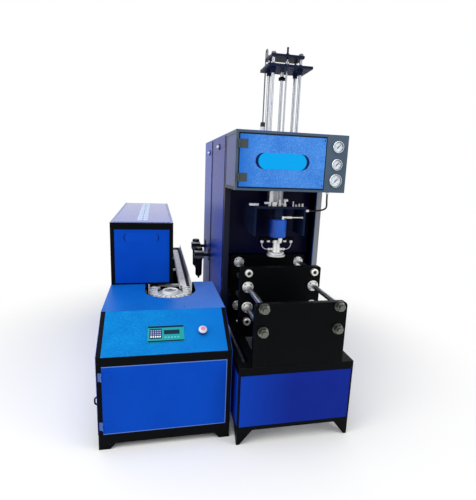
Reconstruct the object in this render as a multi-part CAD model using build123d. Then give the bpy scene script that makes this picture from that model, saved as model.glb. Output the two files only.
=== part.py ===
from build123d import *
import math
import os

# Semi-automatic stretch blow moulding machine: a preform oven on the left and
# a blow station on the right. Millimetres. X runs to the right, Y away from
# the operator, Z up. Sizes are laid out from the front left corner of the blow
# station's base and moved at the end, so that the origin lies under the middle
# of the whole machine on the floor.

# Shared clearances
fit = 0.05
slip = 0.3
swing_gap = 2.0
sheet = 2.0

# Blow station base
station_width = 700.0
station_depth = 1740.0
base_height = 490.0
base_foot = 90.0
base_tube = 35.0
rim_height = 50.0
rim_front = 70.0
base_rail = 27.0
beam_width = 50.0
panel_margin = 12.0

# Corner feet, folded from plate
foot_top = 92.0
foot_bottom = 18.0
foot_sheet = 6.0
oven_foot_bottom = 62.0

# Clamp
clamp_width = 550.0
bar_spacing_x = 447.0
bar_spacing_z = 137.0
bar_rise = 282.0
bar_height = base_height + bar_rise
bar_radius = 16.0
pull_rod_radius = 12.5
pull_rod_spacing_z = 328.0
plate_margin = 24.5
platen_margin = 34.0
rear_platen_margin = 49.0
front_plate_y = 2.0
front_plate_thickness = 32.0
front_plate_top = bar_height + bar_spacing_z / 2 + plate_margin
front_plate_corner = 28.0
platen_y = 400.0
platen_thickness = 40.0
platen_top = bar_height + pull_rod_spacing_z / 2 + platen_margin
rear_platen_y = 700.0
rear_platen_thickness = 40.0
rear_platen_top = bar_height + pull_rod_spacing_z / 2 + rear_platen_margin
platen_corner = 16.0
clamp_stroke = 240.0
bushing_radius = 24.0
bushing_flange_radius = 36.0
bushing_flange = 12.0
bushing_tail = 14.0
pull_nut_radius = 24.0
pull_nut_length = 28.0
nut_flats = 46.0
nut_thickness = 26.0
washer_radius = 31.0
washer_thickness = 6.0
bar_stub = 12.0
crosshead_thickness = 30.0
cylinder_bore = 125.0
cylinder_wall = 7.0
cylinder_cap = 28.0
cylinder_cap_side = 150.0
clamp_piston = 25.0
clamp_rod_radius = 20.0

# Air filters on the cabinet side: distance from the back and height above the base
filters = ((390.0, 410.0), (120.0, 435.0))
filter_reach = 89.0

# Cabinet behind and above the clamp
cabinet_y = 640.0
cabinet_top = 1808.0
cabinet_tube = 40.0
post_round = 4.0
panel_seam_y = 1275.0
recess_wall_y = 766.0
panel_gap = 4.0

# Head box that overhangs the clamp
head_y = 321.5
head_height = 344.0
head_bottom = cabinet_top - head_height
head_tube = 20.0
door_left = 23.0
door_right = 555.0
door_depth = 16.0
door_sheet = 1.5
gauge_plate_left = 562.0
badge_x = 287.0
badge_z = head_bottom + head_height / 2 + 2.0
badge_length = 328.0
badge_height = 93.0
badge_rise = 1.2
hinge_pin_radius = 2.5
hinge_knuckle_radius = 4.0
hinge_knuckle = 16.4
hinge_leaf = 46.0
hinge_inset = 76.0
door_hinge_heights = (head_bottom + hinge_inset, cabinet_top - hinge_inset)

# Pressure gauges: bezel radius, and how far each stands off even spacing
gauge_sizes = {"top": (35.0, -2.5), "middle": (34.0, -7.0), "bottom": (40.0, 1.5)}
gauge_gap = (head_height - sum(2 * bezel for bezel, shift in gauge_sizes.values())) / 4
gauge_x = 633.0
gauge_bezel_depth = 10.0
gauge_body_depth = 32.0
gauge_rim = 4.0
gauge_lens = 1.5
pointer_angle = 45.0

# Tower above the head and what runs down through it
centre_x = station_width / 2
axis_y = 545.0
cylinder_y = 635.0
rod_spacing_x = 177.0
guide_radius = 10.0
seat_thickness = 16.0
rod_nut_flats = 28.0
rod_nut = 12.0
air_line_left = 95.0
air_line_y = 705.0
air_line_landing = 668.0
crown_z = 2272.0
crown_thickness = 15.0
crown_width = 210.0
carriage_z = 2205.0
carriage_thickness = 16.0
carriage_left = 215.0
carriage_right = 500.0
carriage_bush_radius = 18.0
carriage_bush = 27.0
collar_stack = 40.0
stretch_stroke = 320.0
stretch_rod_radius = 6.0
rod_hole_radius = 9.0
profile_side = 95.0
profile_chamfer = 18.0
profile_bore = 40.0
stretch_cap = 15.0
piston_rod_radius = 10.0
stretch_piston = 25.0

# Blow head
bracket_top = 1357.0
bracket_thickness = 15.0
bracket_width = 350.0
bracket_front = 475.0
bracket_back = 690.0
cheek_thickness = 12.0
cheek_bottom = 1162.0
seal_top = 1268.0
seal_bottom = 1145.0
seal_radius = 60.0
seal_cap = 14.0
seal_bore = 47.0
seal_piston = 20.0
nozzle_stroke = 50.0
spindle_radius = 18.0
nozzle_bottom = 1014.0
nozzle_flange_radius = 62.5
bolt_out = 58.0
carrier_thickness = 14.0
carrier_half = 120.0
port_z = 1060.0
port_reach = 34.0
hose_reach = 62.0
hose_radius = 3.0
hose_run = 13.5
hose_turn = 22.5

# Preform oven
oven_left = -774.0
oven_right = -27.0
oven_y = 82.0
oven_tube = 25.0
oven_base = 35.0
oven_rail_top = 95.0
header_bottom = 512.0
header_depth = 30.0
console_z = 565.0
table_y = 353.0
table_z = 724.6
table_back = 930.0
rear_right = -185.0
oven_back = 2430.0
oven_hinge_heights = (150.0, 450.0)

# Tunnel on the oven
tunnel_right = -330.0
tunnel_y = 894.0
tunnel_top = 1184.0
tunnel_tube = 28.0
tunnel_bar = 50.0
tunnel_sill = 11.0
vent_width = 55.0
vent_length = 14.0
vent_count = 20
front_boss_drop = 110.0
front_boss_length = 249.0
front_boss_height = 62.0
front_boss_shift = -5.0

# Chain conveyor
wheel_x = -355.0
wheel_y = 740.0
fork_count = 20
band_inner = 112.0
band_outer = 120.0
band_bottom = 698.0
band_height = 8.0
fork_inner = 88.0
fork_outer = 146.0
fork_thickness = 5.0
fork_gap = 2.0
notch_radius = 12.0
notch_centre = 137.0
straight_forks = 39
cutout_radius = 178.0
rail_gap = 2.0
rail_thickness = 3.0
rail_top = 775.0
wheel_shaft_radius = 12.0
cross_bar_top = 545.0
cross_bar_width = 50.0
cover_inner = 76.0
cover_outer = 123.0
bed_inner = 72.0

# Lamps and their tray beside the heated run
tray_half = 70.0
lamp_reach = 46.0
lamp_radius = 6.0
lamp_spacing = 37.0
lamp_holder = 16.0
lamp_holder_width = 34.0
tray_drop = 26.0

# Operator panel and stop button, on the sloped console
panel_x = -399.0
panel_up = 134.0
panel_size = (210.0, 114.0)
panel_body = (190.0, 94.0, 30.0)
panel_flange = 4.0
button_x = -186.0
button_up = 136.0
button_radius = 25.0
button_travel = 5.0

band_pitch_radius = (band_inner + band_outer) / 2
fork_pitch = 2 * band_pitch_radius * math.sin(math.pi / fork_count)
rear_wheel_y = wheel_y + straight_forks * fork_pitch
fork_z = band_bottom + band_height
tray_front = table_back + 20.0
tray_back = rear_wheel_y - 95.0
tray_top = band_bottom - tray_drop
bar_x = [centre_x - bar_spacing_x / 2, centre_x + bar_spacing_x / 2]
bar_z = [bar_height - bar_spacing_z / 2, bar_height + bar_spacing_z / 2]
pull_z = [bar_height - pull_rod_spacing_z / 2, bar_height + pull_rod_spacing_z / 2]
rod_x = [centre_x - rod_spacing_x / 2, centre_x + rod_spacing_x / 2]
rod_y = [axis_y, cylinder_y]
clamp_left = centre_x - clamp_width / 2
clamp_right = centre_x + clamp_width / 2
gauges = {}
gauge_height = cabinet_top
for name, (bezel, shift) in gauge_sizes.items():
    gauge_height -= gauge_gap + bezel
    gauges[name] = (gauge_height + shift, bezel)
    gauge_height -= bezel


def block(x0, x1, y0, y1, z0, z1):
    """Box between two corners."""
    middle = Pos((x0 + x1) / 2, (y0 + y1) / 2, (z0 + z1) / 2)
    return middle * Box(x1 - x0, y1 - y0, z1 - z0)


def round_x(y, z, radius, x0, x1):
    return Pos((x0 + x1) / 2, y, z) * Rot(0, 90, 0) * Cylinder(radius, x1 - x0)


def round_y(x, z, radius, y0, y1):
    return Pos(x, (y0 + y1) / 2, z) * Rot(90, 0, 0) * Cylinder(radius, y1 - y0)


def round_z(x, y, radius, z0, z1):
    return Pos(x, y, (z0 + z1) / 2) * Cylinder(radius, z1 - z0)


def turned(points):
    """Solid of revolution about Z from (radius, height) points."""
    outline = make_face(Plane.XZ * Polyline(*points, close=True))
    return revolve(outline, Axis.Z)


def along_y(shape, x, y, z):
    """Turn a solid made about Z so that its height runs along +Y."""
    return Pos(x, y, z) * Rot(-90, 0, 0) * shape


def hexagon(flats, thickness, hole):
    """Hexagon nut standing on Z = 0, with its corners turned off."""
    corner = flats / math.sqrt(3)
    blank = extrude(RegularPolygon(corner, 6), thickness)
    chamfer_height = corner * 0.08
    cone = turned([
        (0, 0), (corner - 2 * chamfer_height, 0), (corner, chamfer_height),
        (corner, thickness - chamfer_height), (corner - 2 * chamfer_height, thickness),
        (0, thickness),
    ])
    return (blank & cone) - round_z(0, 0, hole, -1, thickness + 1)


def mirrored_x(shape, middle):
    return mirror(shape, about=Plane(origin=(middle, 0, 0), z_dir=(1, 0, 0)))


def mirrored_y(shape, middle):
    return mirror(shape, about=Plane(origin=(0, middle, 0), z_dir=(0, 1, 0)))


def plate_with_round_top(x0, x1, y0, y1, z0, z1, corner):
    plate = block(x0, x1, y0, y1, z0, z1)
    top_corners = plate.edges().filter_by(Axis.Y).group_by(Axis.Z)[-1]
    return fillet(top_corners, corner)


# Blow station base

def base_frame():
    w, d, t = station_width, station_depth, base_tube
    rim_bottom = base_height - rim_height
    rail_top = base_foot + base_rail
    bars = [block(x, x + t, y, y + t, base_foot, rim_bottom)
            for x in (0, w - t) for y in (0, d - t)]
    bars += [block(t, w - t, y, y + t, base_foot, rail_top) for y in (0, d - t)]
    bars += [block(x, x + t, t, d - t, base_foot, rail_top) for x in (0, w - t)]
    bars += [block(0, w, y, y + rim_front, rim_bottom, base_height)
             for y in (0, d - rim_front)]
    lengthwise = (0, clamp_left, clamp_right - beam_width, w - t)
    widths = (t, beam_width, beam_width, t)
    bars += [block(x, x + wide, rim_front, d - rim_front, rim_bottom, base_height)
             for x, wide in zip(lengthwise, widths)]
    return bars


def base_panels():
    w, d = station_width, station_depth
    low = base_foot + base_rail
    high = base_height - rim_height
    edge = panel_margin
    return [
        block(edge, w - edge, -sheet, 0, low, high),
        block(edge, w - edge, d, d + sheet, low, high),
        block(-sheet, 0, edge, d - edge, low, high),
        block(w, w + sheet, edge, d - edge, low, high),
    ]


def folded_foot(height, narrow):
    """Corner foot at the origin: two tapered leaves that meet in a fold."""
    outline = Polyline((0, 0), (narrow, 0), (foot_top, height), (0, height), close=True)
    front = extrude(make_face(Plane.XZ * outline), -foot_sheet)
    side_plane = Plane(origin=(0, 0, 0), x_dir=(0, 1, 0), z_dir=(1, 0, 0))
    side = extrude(make_face(side_plane * outline), foot_sheet)
    return front + side


def feet_at(x0, x1, y0, y1, height, narrow):
    corner = folded_foot(height, narrow)
    left = Pos(x0, y0, 0) * corner
    right = mirrored_x(left, (x0 + x1) / 2)
    front = [left, right]
    return front + [mirrored_y(foot, (y0 + y1) / 2) for foot in front]


def corner_feet():
    blower = feet_at(0, station_width, 0, station_depth, base_foot, foot_bottom)
    front = feet_at(oven_left, oven_right, oven_y, table_back, oven_base, oven_foot_bottom)
    rear = feet_at(oven_left, rear_right, oven_y, oven_back, oven_base, oven_foot_bottom)
    return blower + front[:3] + rear[2:]


# Clamp

def front_plate():
    y0, y1 = front_plate_y, front_plate_y + front_plate_thickness
    plate = plate_with_round_top(clamp_left, clamp_right, y0, y1, base_height,
                                 front_plate_top, front_plate_corner)
    for x in bar_x:
        for z in bar_z:
            plate -= round_y(x, z, bar_radius + slip, y0 - 1, y1 + 1)
    return [plate]


def tie_bars():
    front = front_plate_y - washer_thickness - nut_thickness - bar_stub
    back = rear_platen_y + rear_platen_thickness + washer_thickness + nut_thickness + bar_stub
    return [round_y(x, z, bar_radius, front, back) for x in bar_x for z in bar_z]


def bar_fasteners(face, direction):
    """Washer and nut on each tie bar, from a plate face outwards."""
    pieces = []
    for x in bar_x:
        for z in bar_z:
            washer = turned([
                (bar_radius + slip, 0), (washer_radius, 0),
                (washer_radius, washer_thickness), (bar_radius + slip, washer_thickness),
            ])
            nut = hexagon(nut_flats, nut_thickness, bar_radius + slip / 2)
            low = min(face, face + direction * washer_thickness)
            far = face + direction * washer_thickness
            nut_low = min(far, far + direction * nut_thickness)
            pieces.append(along_y(washer, x, low, z))
            pieces.append(along_y(nut, x, nut_low, z))
    return pieces


def tower_nuts():
    """Nuts on the guide rods, under the seat plate and on the crown."""
    nut = hexagon(rod_nut_flats, rod_nut, guide_radius + slip / 2)
    seat_bottom = cabinet_top - head_tube - seat_thickness
    crown_top = crown_z + crown_thickness
    return [Pos(x, y, z) * nut for x in rod_x for y in rod_y
            for z in (seat_bottom - rod_nut, crown_top)]


def hex_nuts():
    rear_face = rear_platen_y + rear_platen_thickness
    return bar_fasteners(front_plate_y, -1) + bar_fasteners(rear_face, 1) + tower_nuts()


def drilled_platen(y0, y1, z0, z1, bar_hole, pull_hole):
    plate = plate_with_round_top(clamp_left, clamp_right, y0, y1, z0, z1, platen_corner)
    for x in bar_x:
        for z in bar_z:
            plate -= round_y(x, z, bar_hole, y0 - 1, y1 + 1)
        for z in pull_z:
            plate -= round_y(x, z, pull_hole, y0 - 1, y1 + 1)
    return plate


def rear_platen():
    return [drilled_platen(rear_platen_y, rear_platen_y + rear_platen_thickness, base_height,
                           rear_platen_top, bar_radius + slip, bushing_radius + slip)]


def flanged_bushing(bore, thickness):
    """Bushing about Z: flange below Z = 0, body through a plate of that thickness."""
    return turned([
        (bore, -bushing_flange), (bushing_flange_radius - 2, -bushing_flange),
        (bushing_flange_radius, -bushing_flange + 2), (bushing_flange_radius, 0),
        (bushing_radius, 0), (bushing_radius, thickness + bushing_tail),
        (bore, thickness + bushing_tail),
    ])


def rod_bushings():
    bushing = flanged_bushing(pull_rod_radius + fit, rear_platen_thickness)
    return [along_y(bushing, x, rear_platen_y, z) for x in bar_x for z in pull_z]


def front_platen():
    floor = base_height + swing_gap
    return [drilled_platen(platen_y, platen_y + platen_thickness, floor, platen_top,
                           bushing_radius + slip, pull_rod_radius + slip)]


def platen_bushings():
    bushing = flanged_bushing(bar_radius + fit, platen_thickness)
    return [along_y(bushing, x, platen_y, z) for x in bar_x for z in bar_z]


cylinder_front = rear_platen_y + rear_platen_thickness
cylinder_length = 2 * cylinder_cap + clamp_stroke + 3 * clamp_piston
cylinder_rear = cylinder_front + cylinder_length
crosshead_y = cylinder_rear + clamp_stroke + 30.0


def pull_rods():
    """Pull rods with a round nut at the platen and a hexagon nut at the crosshead."""
    nut_face = platen_y - pull_nut_length
    rear = crosshead_y + crosshead_thickness
    rods = [round_y(x, z, pull_rod_radius, nut_face + 9, rear + 26) for x in bar_x for z in pull_z]
    round_nut = turned([
        (pull_rod_radius + slip / 2, 0), (pull_nut_radius - 3, 0),
        (pull_nut_radius, 3), (pull_nut_radius, pull_nut_length),
        (pull_rod_radius + slip / 2, pull_nut_length),
    ])
    rods += [along_y(round_nut, x, nut_face, z) for x in bar_x for z in pull_z]
    end_nut = hexagon(36.0, 20.0, pull_rod_radius + slip / 2)
    return rods + [along_y(end_nut, x, rear, z) for x in bar_x for z in pull_z]


def crosshead():
    y0, y1 = crosshead_y, crosshead_y + crosshead_thickness
    low = pull_z[0] - 48.0
    high = pull_z[1] + 48.0
    outline = make_face(Plane.XZ * Polyline(
        (clamp_left, low), (clamp_right, low), (clamp_right, low + 90),
        (centre_x + 110, bar_height), (clamp_right, high - 90), (clamp_right, high),
        (clamp_left, high), (clamp_left, high - 90), (centre_x - 110, bar_height),
        (clamp_left, low + 90), close=True))
    plate = Pos(0, y0, 0) * extrude(outline, -crosshead_thickness)
    for x in bar_x:
        for z in pull_z:
            plate -= round_y(x, z, pull_rod_radius + slip, y0 - 1, y1 + 1)
    return [plate - round_y(centre_x, bar_height, clamp_rod_radius * 0.8 + slip, y0 - 1, y1 + 1)]


def clamp_cylinder():
    """Cylinder on the back of the rear platen, bored for its piston and rod."""
    y0, y1 = cylinder_front, cylinder_rear
    bore = cylinder_bore / 2
    half = cylinder_cap_side / 2
    caps = [block(centre_x - half, centre_x + half, y, y + cylinder_cap,
                  bar_height - half, bar_height + half) for y in (y0, y1 - cylinder_cap)]
    tube = round_y(centre_x, bar_height, bore + cylinder_wall, y0 + cylinder_cap, y1 - cylinder_cap)
    body = caps[0] + caps[1] + tube
    body -= round_y(centre_x, bar_height, bore, y0 + cylinder_cap, y1 - cylinder_cap)
    body -= round_y(centre_x, bar_height, clamp_rod_radius + fit, y1 - cylinder_cap - 1, y1 + 1)
    reach = half - 12.0
    rods = [round_y(centre_x + i * reach, bar_height + j * reach, 6.0, y0 + cylinder_cap,
                    y1 - cylinder_cap) for i in (-1, 1) for j in (-1, 1)]
    return [body] + rods


def clamp_piston_rod():
    """Piston, rod and threaded end, at the closed end of the stroke."""
    piston_end = cylinder_rear - cylinder_cap - 6.0
    shoulder = crosshead_y
    thread = clamp_rod_radius * 0.8
    shape = (round_y(centre_x, bar_height, cylinder_bore / 2 - fit, piston_end - clamp_piston, piston_end)
             + round_y(centre_x, bar_height, clamp_rod_radius, piston_end, shoulder)
             + round_y(centre_x, bar_height, thread, shoulder, shoulder + crosshead_thickness + 30))
    nut = hexagon(50.0, 22.0, thread + slip / 2)
    return [shape, along_y(nut, centre_x, shoulder + crosshead_thickness, bar_height)]


# Cabinet

def cabinet_frame():
    t, w, d = cabinet_tube, station_width, station_depth
    high = cabinet_top - t
    bars = []
    for x in (0, w - t):
        front = block(x, x + t, cabinet_y, cabinet_y + t, base_height, cabinet_top)
        bars.append(fillet(front.edges().filter_by(Axis.Z), post_round))
        bars.append(block(x, x + t, panel_seam_y - t / 2, panel_seam_y + t / 2, base_height, high))
        bars.append(block(x, x + t, d - t, d, base_height, cabinet_top))
        bars.append(block(x, x + t, cabinet_y + t, d - t, high, cabinet_top))
    for y in (rear_platen_y, d - t):
        bars.append(block(t, w - t, y, y + t, high, cabinet_top))
    return bars


def cabinet_panels():
    w, d = station_width, station_depth
    low = base_height + 10.0
    high = cabinet_top - 10.0
    seam = panel_gap / 2
    front = (cabinet_y + cabinet_tube + panel_gap, panel_seam_y - seam)
    rear = (panel_seam_y + seam, d - 10.0)
    panels = [block(x, x + sheet, y0, y1, low, high)
              for x in (-sheet, w) for y0, y1 in (front, rear)]
    panels.append(block(6.0, w - 6.0, d, d + sheet, low, high))
    panels.append(block(cabinet_tube, w - cabinet_tube, recess_wall_y, recess_wall_y + sheet,
                        rear_platen_top, cabinet_top - cabinet_tube))
    roof = block(0, w, head_y, d, cabinet_top, cabinet_top + sheet)
    for x in rod_x:
        for y in rod_y:
            roof -= round_z(x, y, guide_radius + slip, cabinet_top - 1, cabinet_top + sheet + 1)
    roof -= round_z(centre_x, axis_y, rod_hole_radius, cabinet_top - 1, cabinet_top + sheet + 1)
    roof -= round_z(centre_x, cylinder_y, piston_rod_radius + 4, cabinet_top - 1,
                    cabinet_top + sheet + 1)
    return panels + [roof]


def head_frame():
    t, w = head_tube, station_width
    y0, y1 = head_y, head_y + t
    low, high = head_bottom, cabinet_top
    bars = [block(x, x + t, y0, y1, low, high) for x in (0, w - t)]
    bars += [block(t, w - t, y0, y1, z, z + t) for z in (low, high - t)]
    bars += [block(x, x + t, y1, cabinet_y, z, z + t) for x in (0, w - t) for z in (low, high - t)]
    divider = door_right + swing_gap
    bars.append(block(divider, divider + t, y0, y1, low + t, high - t))
    bars.append(gauge_plate())
    bars.append(block(t, w - t, axis_y - 40, axis_y - 20, high - t, high))
    bars.append(tower_seat())
    return bars


def gauge_plate():
    plate = block(gauge_plate_left, station_width, head_y - sheet, head_y, head_bottom, cabinet_top)
    for height, bezel in gauges.values():
        plate -= round_y(gauge_x, height, bezel * 0.82 + slip, head_y - 2 * sheet, head_y + sheet)
    return plate


def tower_seat():
    """Plate under the roof that carries the guide rods and the stretch cylinder."""
    high = cabinet_top - head_tube
    low = high - seat_thickness
    margin = 36.0
    seat = block(rod_x[0] - margin, rod_x[1] + margin, axis_y - 40, rear_platen_y, low, high)
    hole = profile_side / 2 + slip
    seat -= block(centre_x - hole, centre_x + hole, cylinder_y - hole, cylinder_y + hole, low - 1, high + 1)
    seat -= round_z(centre_x, axis_y, rod_hole_radius, low - 1, high + 1)
    for x in rod_x:
        for y in rod_y:
            seat -= round_z(x, y, guide_radius + slip, low - 1, high + 1)
    return seat


def head_panels():
    """Side sheets of the head between its bars, and the floor sheet."""
    t, w = head_tube, station_width
    y0, y1 = head_y + t, cabinet_y
    low, high = head_bottom + t, cabinet_top - t
    sides = [block(x, x + sheet, y0, y1, low, high) for x in (sheet, w - 2 * sheet)]
    floor = block(t, w - t, y0, y1, head_bottom, head_bottom + sheet)
    notch = profile_side / 2 + slip
    floor -= block(centre_x - notch, centre_x + notch, cylinder_y - notch, y1 + 1,
                   head_bottom - 1, head_bottom + sheet + 1)
    floor -= round_z(centre_x, axis_y, rod_hole_radius, head_bottom - 1, head_bottom + sheet + 1)
    return sides + [floor]


def stadium_boss(x, z, length, height, y0, rise):
    outline = make_face(Plane.XZ * Pos(x, z) * SlotOverall(length, height).wire())
    return Pos(0, y0, 0) * extrude(outline, rise)


def door_pan(x0, x1, y0, z0, z1, depth):
    """Sheet door with returned edges, open at the back."""
    t = door_sheet
    pan = block(x0, x1, y0, y0 + depth, z0, z1)
    return pan - block(x0 + t, x1 - t, y0 + t, y0 + depth + 1, z0 + t, z1 - t)


def fixed_hinge(x, y, z, frame_y):
    """Leaf on the frame with its two knuckles and the pin; x, y is the pin axis."""
    half = hinge_knuckle / 2
    r = hinge_knuckle_radius
    leaf = block(x - 17, x - r, frame_y - 2, frame_y, z - 3 * half, z + 3 * half)
    shape = leaf
    for z0 in (z - 3 * half, z + half):
        shape += block(x - r, x, y, frame_y, z0, z0 + 2 * half - slip)
        shape += round_z(x, y, r, z0, z0 + 2 * half - slip)
    shape += block(x - r - 1, x - r + 0.5, frame_y - 2, frame_y, z - 3 * half, z + 3 * half)
    return shape + round_z(x, y, hinge_pin_radius, z - 3 * half, z + 3 * half - slip)


def moving_hinge(x, y, z, door_y):
    """Leaf on the door with its knuckle, bored for the pin."""
    half = hinge_knuckle / 2
    r = hinge_knuckle_radius
    low, high = z - half + slip, z + half - 2 * slip
    shape = block(x + 4, x + 4 + hinge_leaf, door_y - 2, door_y, z - 1.5 * hinge_knuckle,
                  z + 1.5 * hinge_knuckle)
    shape += block(x, x + 5, door_y - 2, door_y, low, high) + round_z(x, y, r, low, high)
    return shape - round_z(x, y, hinge_pin_radius + fit, low - 1, high + 1)


head_door_y = head_y - sheet
head_axis = (door_left - 2.5, head_door_y - hinge_knuckle_radius)
oven_door_left = oven_left + oven_tube + swing_gap
oven_door_y = oven_y - sheet
oven_axis = (oven_door_left - 2.5, oven_door_y - hinge_knuckle_radius)


def head_door():
    low = head_bottom + head_tube + swing_gap
    high = cabinet_top - head_tube - swing_gap
    door = door_pan(door_left, door_right, head_door_y, low, high, door_depth)
    door += stadium_boss(badge_x, badge_z, badge_length, badge_height, head_door_y, badge_rise)
    for z in door_hinge_heights:
        door += moving_hinge(head_axis[0], head_axis[1], z, head_door_y)
    return [door]


def door_hinges():
    head = [fixed_hinge(head_axis[0], head_axis[1], z, head_y) for z in door_hinge_heights]
    oven = [fixed_hinge(oven_axis[0], oven_axis[1], z, oven_y) for z in oven_hinge_heights]
    return head + oven


# Gauges

def gauge_case(height, bezel):
    """Turned case: bezel in front of the plate, cup for dial and pointer, body behind."""
    body = bezel * 0.82
    cup = bezel - gauge_rim
    front = -gauge_bezel_depth
    profile = [
        (0, -2.0), (cup, -2.0), (cup, front), (bezel - 1.5, front), (bezel, front + 1.5),
        (bezel, 0), (body, 0), (body, gauge_body_depth), (0, gauge_body_depth),
    ]
    case = turned(profile) - round_z(0, 0, 1.0 + fit, -3, 4)
    return along_y(case, gauge_x, head_y - sheet, height)


def gauge_cases():
    return [gauge_case(height, bezel) for height, bezel in gauges.values()]


def gauge_lenses():
    y0 = head_y - sheet - gauge_bezel_depth + 1.0
    return [round_y(gauge_x, height, bezel - gauge_rim - fit, y0, y0 + gauge_lens)
            for height, bezel in gauges.values()]


def gauge_pointer(height, bezel):
    """Needle with its hub and spindle, turned to its reading."""
    face = head_y - sheet
    needle = make_face(Polyline((-1.6, -bezel * 0.24), (1.6, -bezel * 0.24),
                                (0.5, bezel * 0.66), (-0.5, bezel * 0.66), close=True))
    blade = extrude(needle, 1.0)
    hub = round_z(0, 0, 3.2, -0.8, 1.8) + round_z(0, 0, 1.0, 1.8, 7.0)
    pointer = Rot(90, 0, 0) * mirror(blade + hub, about=Plane.XY)
    return [Pos(gauge_x, face - 5.0, height) * Rot(0, pointer_angle, 0) * pointer]


# Tower

def guide_rods():
    low = cabinet_top - head_tube - seat_thickness - 18.0
    high = crown_z + crown_thickness + 16.0
    return [round_z(x, y, guide_radius, low, high) for x in rod_x for y in rod_y]


def crown_plate():
    """Plate on the rod ends, with the stop screw and an ear for the air line."""
    low, high = crown_z, crown_z + crown_thickness
    plate = block(centre_x - crown_width / 2, centre_x + crown_width / 2,
                  axis_y - 22, cylinder_y + 22, low, high)
    ear_x = centre_x - air_line_left
    plate += block(ear_x - 12, ear_x + 12, cylinder_y + 20, air_line_landing + 12, low, high)
    for x in rod_x:
        for y in rod_y:
            plate -= round_z(x, y, guide_radius + slip, low - 1, high + 1)
    screw_low = carriage_z + carriage_thickness + collar_stack + slip
    plate -= round_z(centre_x, axis_y, 6 + slip, low - 1, high + 1)
    screw = round_z(centre_x, axis_y, 6, screw_low, high + 46)
    nut = Pos(centre_x, axis_y, high) * hexagon(19.0, 10.0, 6 + slip / 2)
    return [plate, screw, nut]


def carriage_plate():
    """Plate that carries the stretch rod, with a bushing on each guide rod."""
    low, high = carriage_z, carriage_z + carriage_thickness
    plate = block(carriage_left, carriage_right, axis_y - 60, cylinder_y + 50, low, high)
    plate -= round_z(centre_x, axis_y, stretch_rod_radius + slip, low - 1, high + 1)
    plate -= round_z(centre_x, cylinder_y, piston_rod_radius * 0.8 + slip, low - 1, high + 1)
    pieces = []
    for x in rod_x:
        for y in rod_y:
            plate -= round_z(x, y, guide_radius + 4, low - 1, high + 1)
            neck = guide_radius + 4 - slip
            bush = turned([
                (guide_radius + fit, -carriage_bush), (carriage_bush_radius - 3, -carriage_bush),
                (carriage_bush_radius - 3, -8), (carriage_bush_radius, -8),
                (carriage_bush_radius, 0), (neck, 0), (neck, carriage_thickness + 4),
                (guide_radius + fit + 1, carriage_thickness + 16),
                (guide_radius + fit, carriage_thickness + 16),
            ])
            pieces.append(Pos(x, y, low) * bush)
    return [plate] + pieces


def stretch_rod():
    """Long rod from the carriage to the nozzle, with its clamp collars on top."""
    low = nozzle_bottom + 20.0
    seat = carriage_z + carriage_thickness
    r = stretch_rod_radius
    return [turned([
        (0, low), (r - 2, low), (r, low + 3), (r, seat), (15, seat), (15, seat + 12), (9, seat + 12),
        (9, seat + 16), (13, seat + 16), (13, seat + 26), (r, seat + 30),
        (r, seat + collar_stack), (0, seat + collar_stack),
    ]).moved(Location((centre_x, axis_y, 0)))]


stretch_low = bracket_top
stretch_high = cabinet_top - 8.0


def stretch_cylinder():
    """Profile barrel with end caps, standing on the bracket and held by the seat plate."""
    half = profile_side / 2
    barrel = extrude(Rectangle(profile_side, profile_side), stretch_high - stretch_low - 2 * stretch_cap)
    barrel = chamfer(barrel.edges().filter_by(Axis.Z), profile_chamfer)
    body = Pos(centre_x, cylinder_y, stretch_low + stretch_cap) * barrel
    for z in (stretch_low, stretch_high - stretch_cap):
        body += block(centre_x - half, centre_x + half, cylinder_y - half, cylinder_y + half,
                      z, z + stretch_cap)
    body -= round_z(centre_x, cylinder_y, profile_bore, stretch_low + stretch_cap,
                    stretch_high - stretch_cap)
    body -= round_z(centre_x, cylinder_y, piston_rod_radius + fit, stretch_high - stretch_cap - 1,
                    stretch_high + 1)
    return [body]


def stretch_piston_rod():
    """Piston at the top of the barrel, rod and stud through the carriage, lock nut."""
    top = stretch_high - stretch_cap - 3.0
    stud = piston_rod_radius * 0.8
    end = carriage_z + carriage_thickness
    rod = turned([
        (0, top - stretch_piston), (profile_bore - fit, top - stretch_piston), (profile_bore - fit, top),
        (piston_rod_radius, top), (piston_rod_radius, carriage_z - 46), (22, carriage_z - 46),
        (22, carriage_z - 30), (12, carriage_z - 26), (15, carriage_z), (stud, carriage_z),
        (stud, end + 18), (0, end + 18),
    ])
    nut = Pos(0, 0, end) * hexagon(24.0, 12.0, stud + slip / 2)
    return [Pos(centre_x, cylinder_y, 0) * piece for piece in (rod, nut)]


def tower_air_line():
    """Stiff air line from a fitting on the roof, over the top and down onto the crown."""
    x, y0, y1 = centre_x - air_line_left, air_line_y, air_line_landing
    low = cabinet_top + sheet
    crown_top = crown_z + crown_thickness
    bend = (y0 - y1) / 2 - 0.5
    path = FilletPolyline((x, y0, low + 64), (x, y0, crown_top + 62), (x, y1, crown_top + 62),
                          (x, y1, crown_top + 12), radius=bend)
    line = sweep(Plane(origin=path @ 0, z_dir=path % 0) * Circle(4.5), path=path)
    foot = turned([(0, low), (13.5, low), (13.5, low + 26), (17, low + 26), (17, low + 60),
                   (13, low + 64), (0, low + 64)])
    cap = turned([(0, crown_top), (9, crown_top), (9, crown_top + 12), (0, crown_top + 12)])
    return [line, Pos(x, y0, 0) * foot, Pos(x, y1, 0) * cap]


# Blow head

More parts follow.
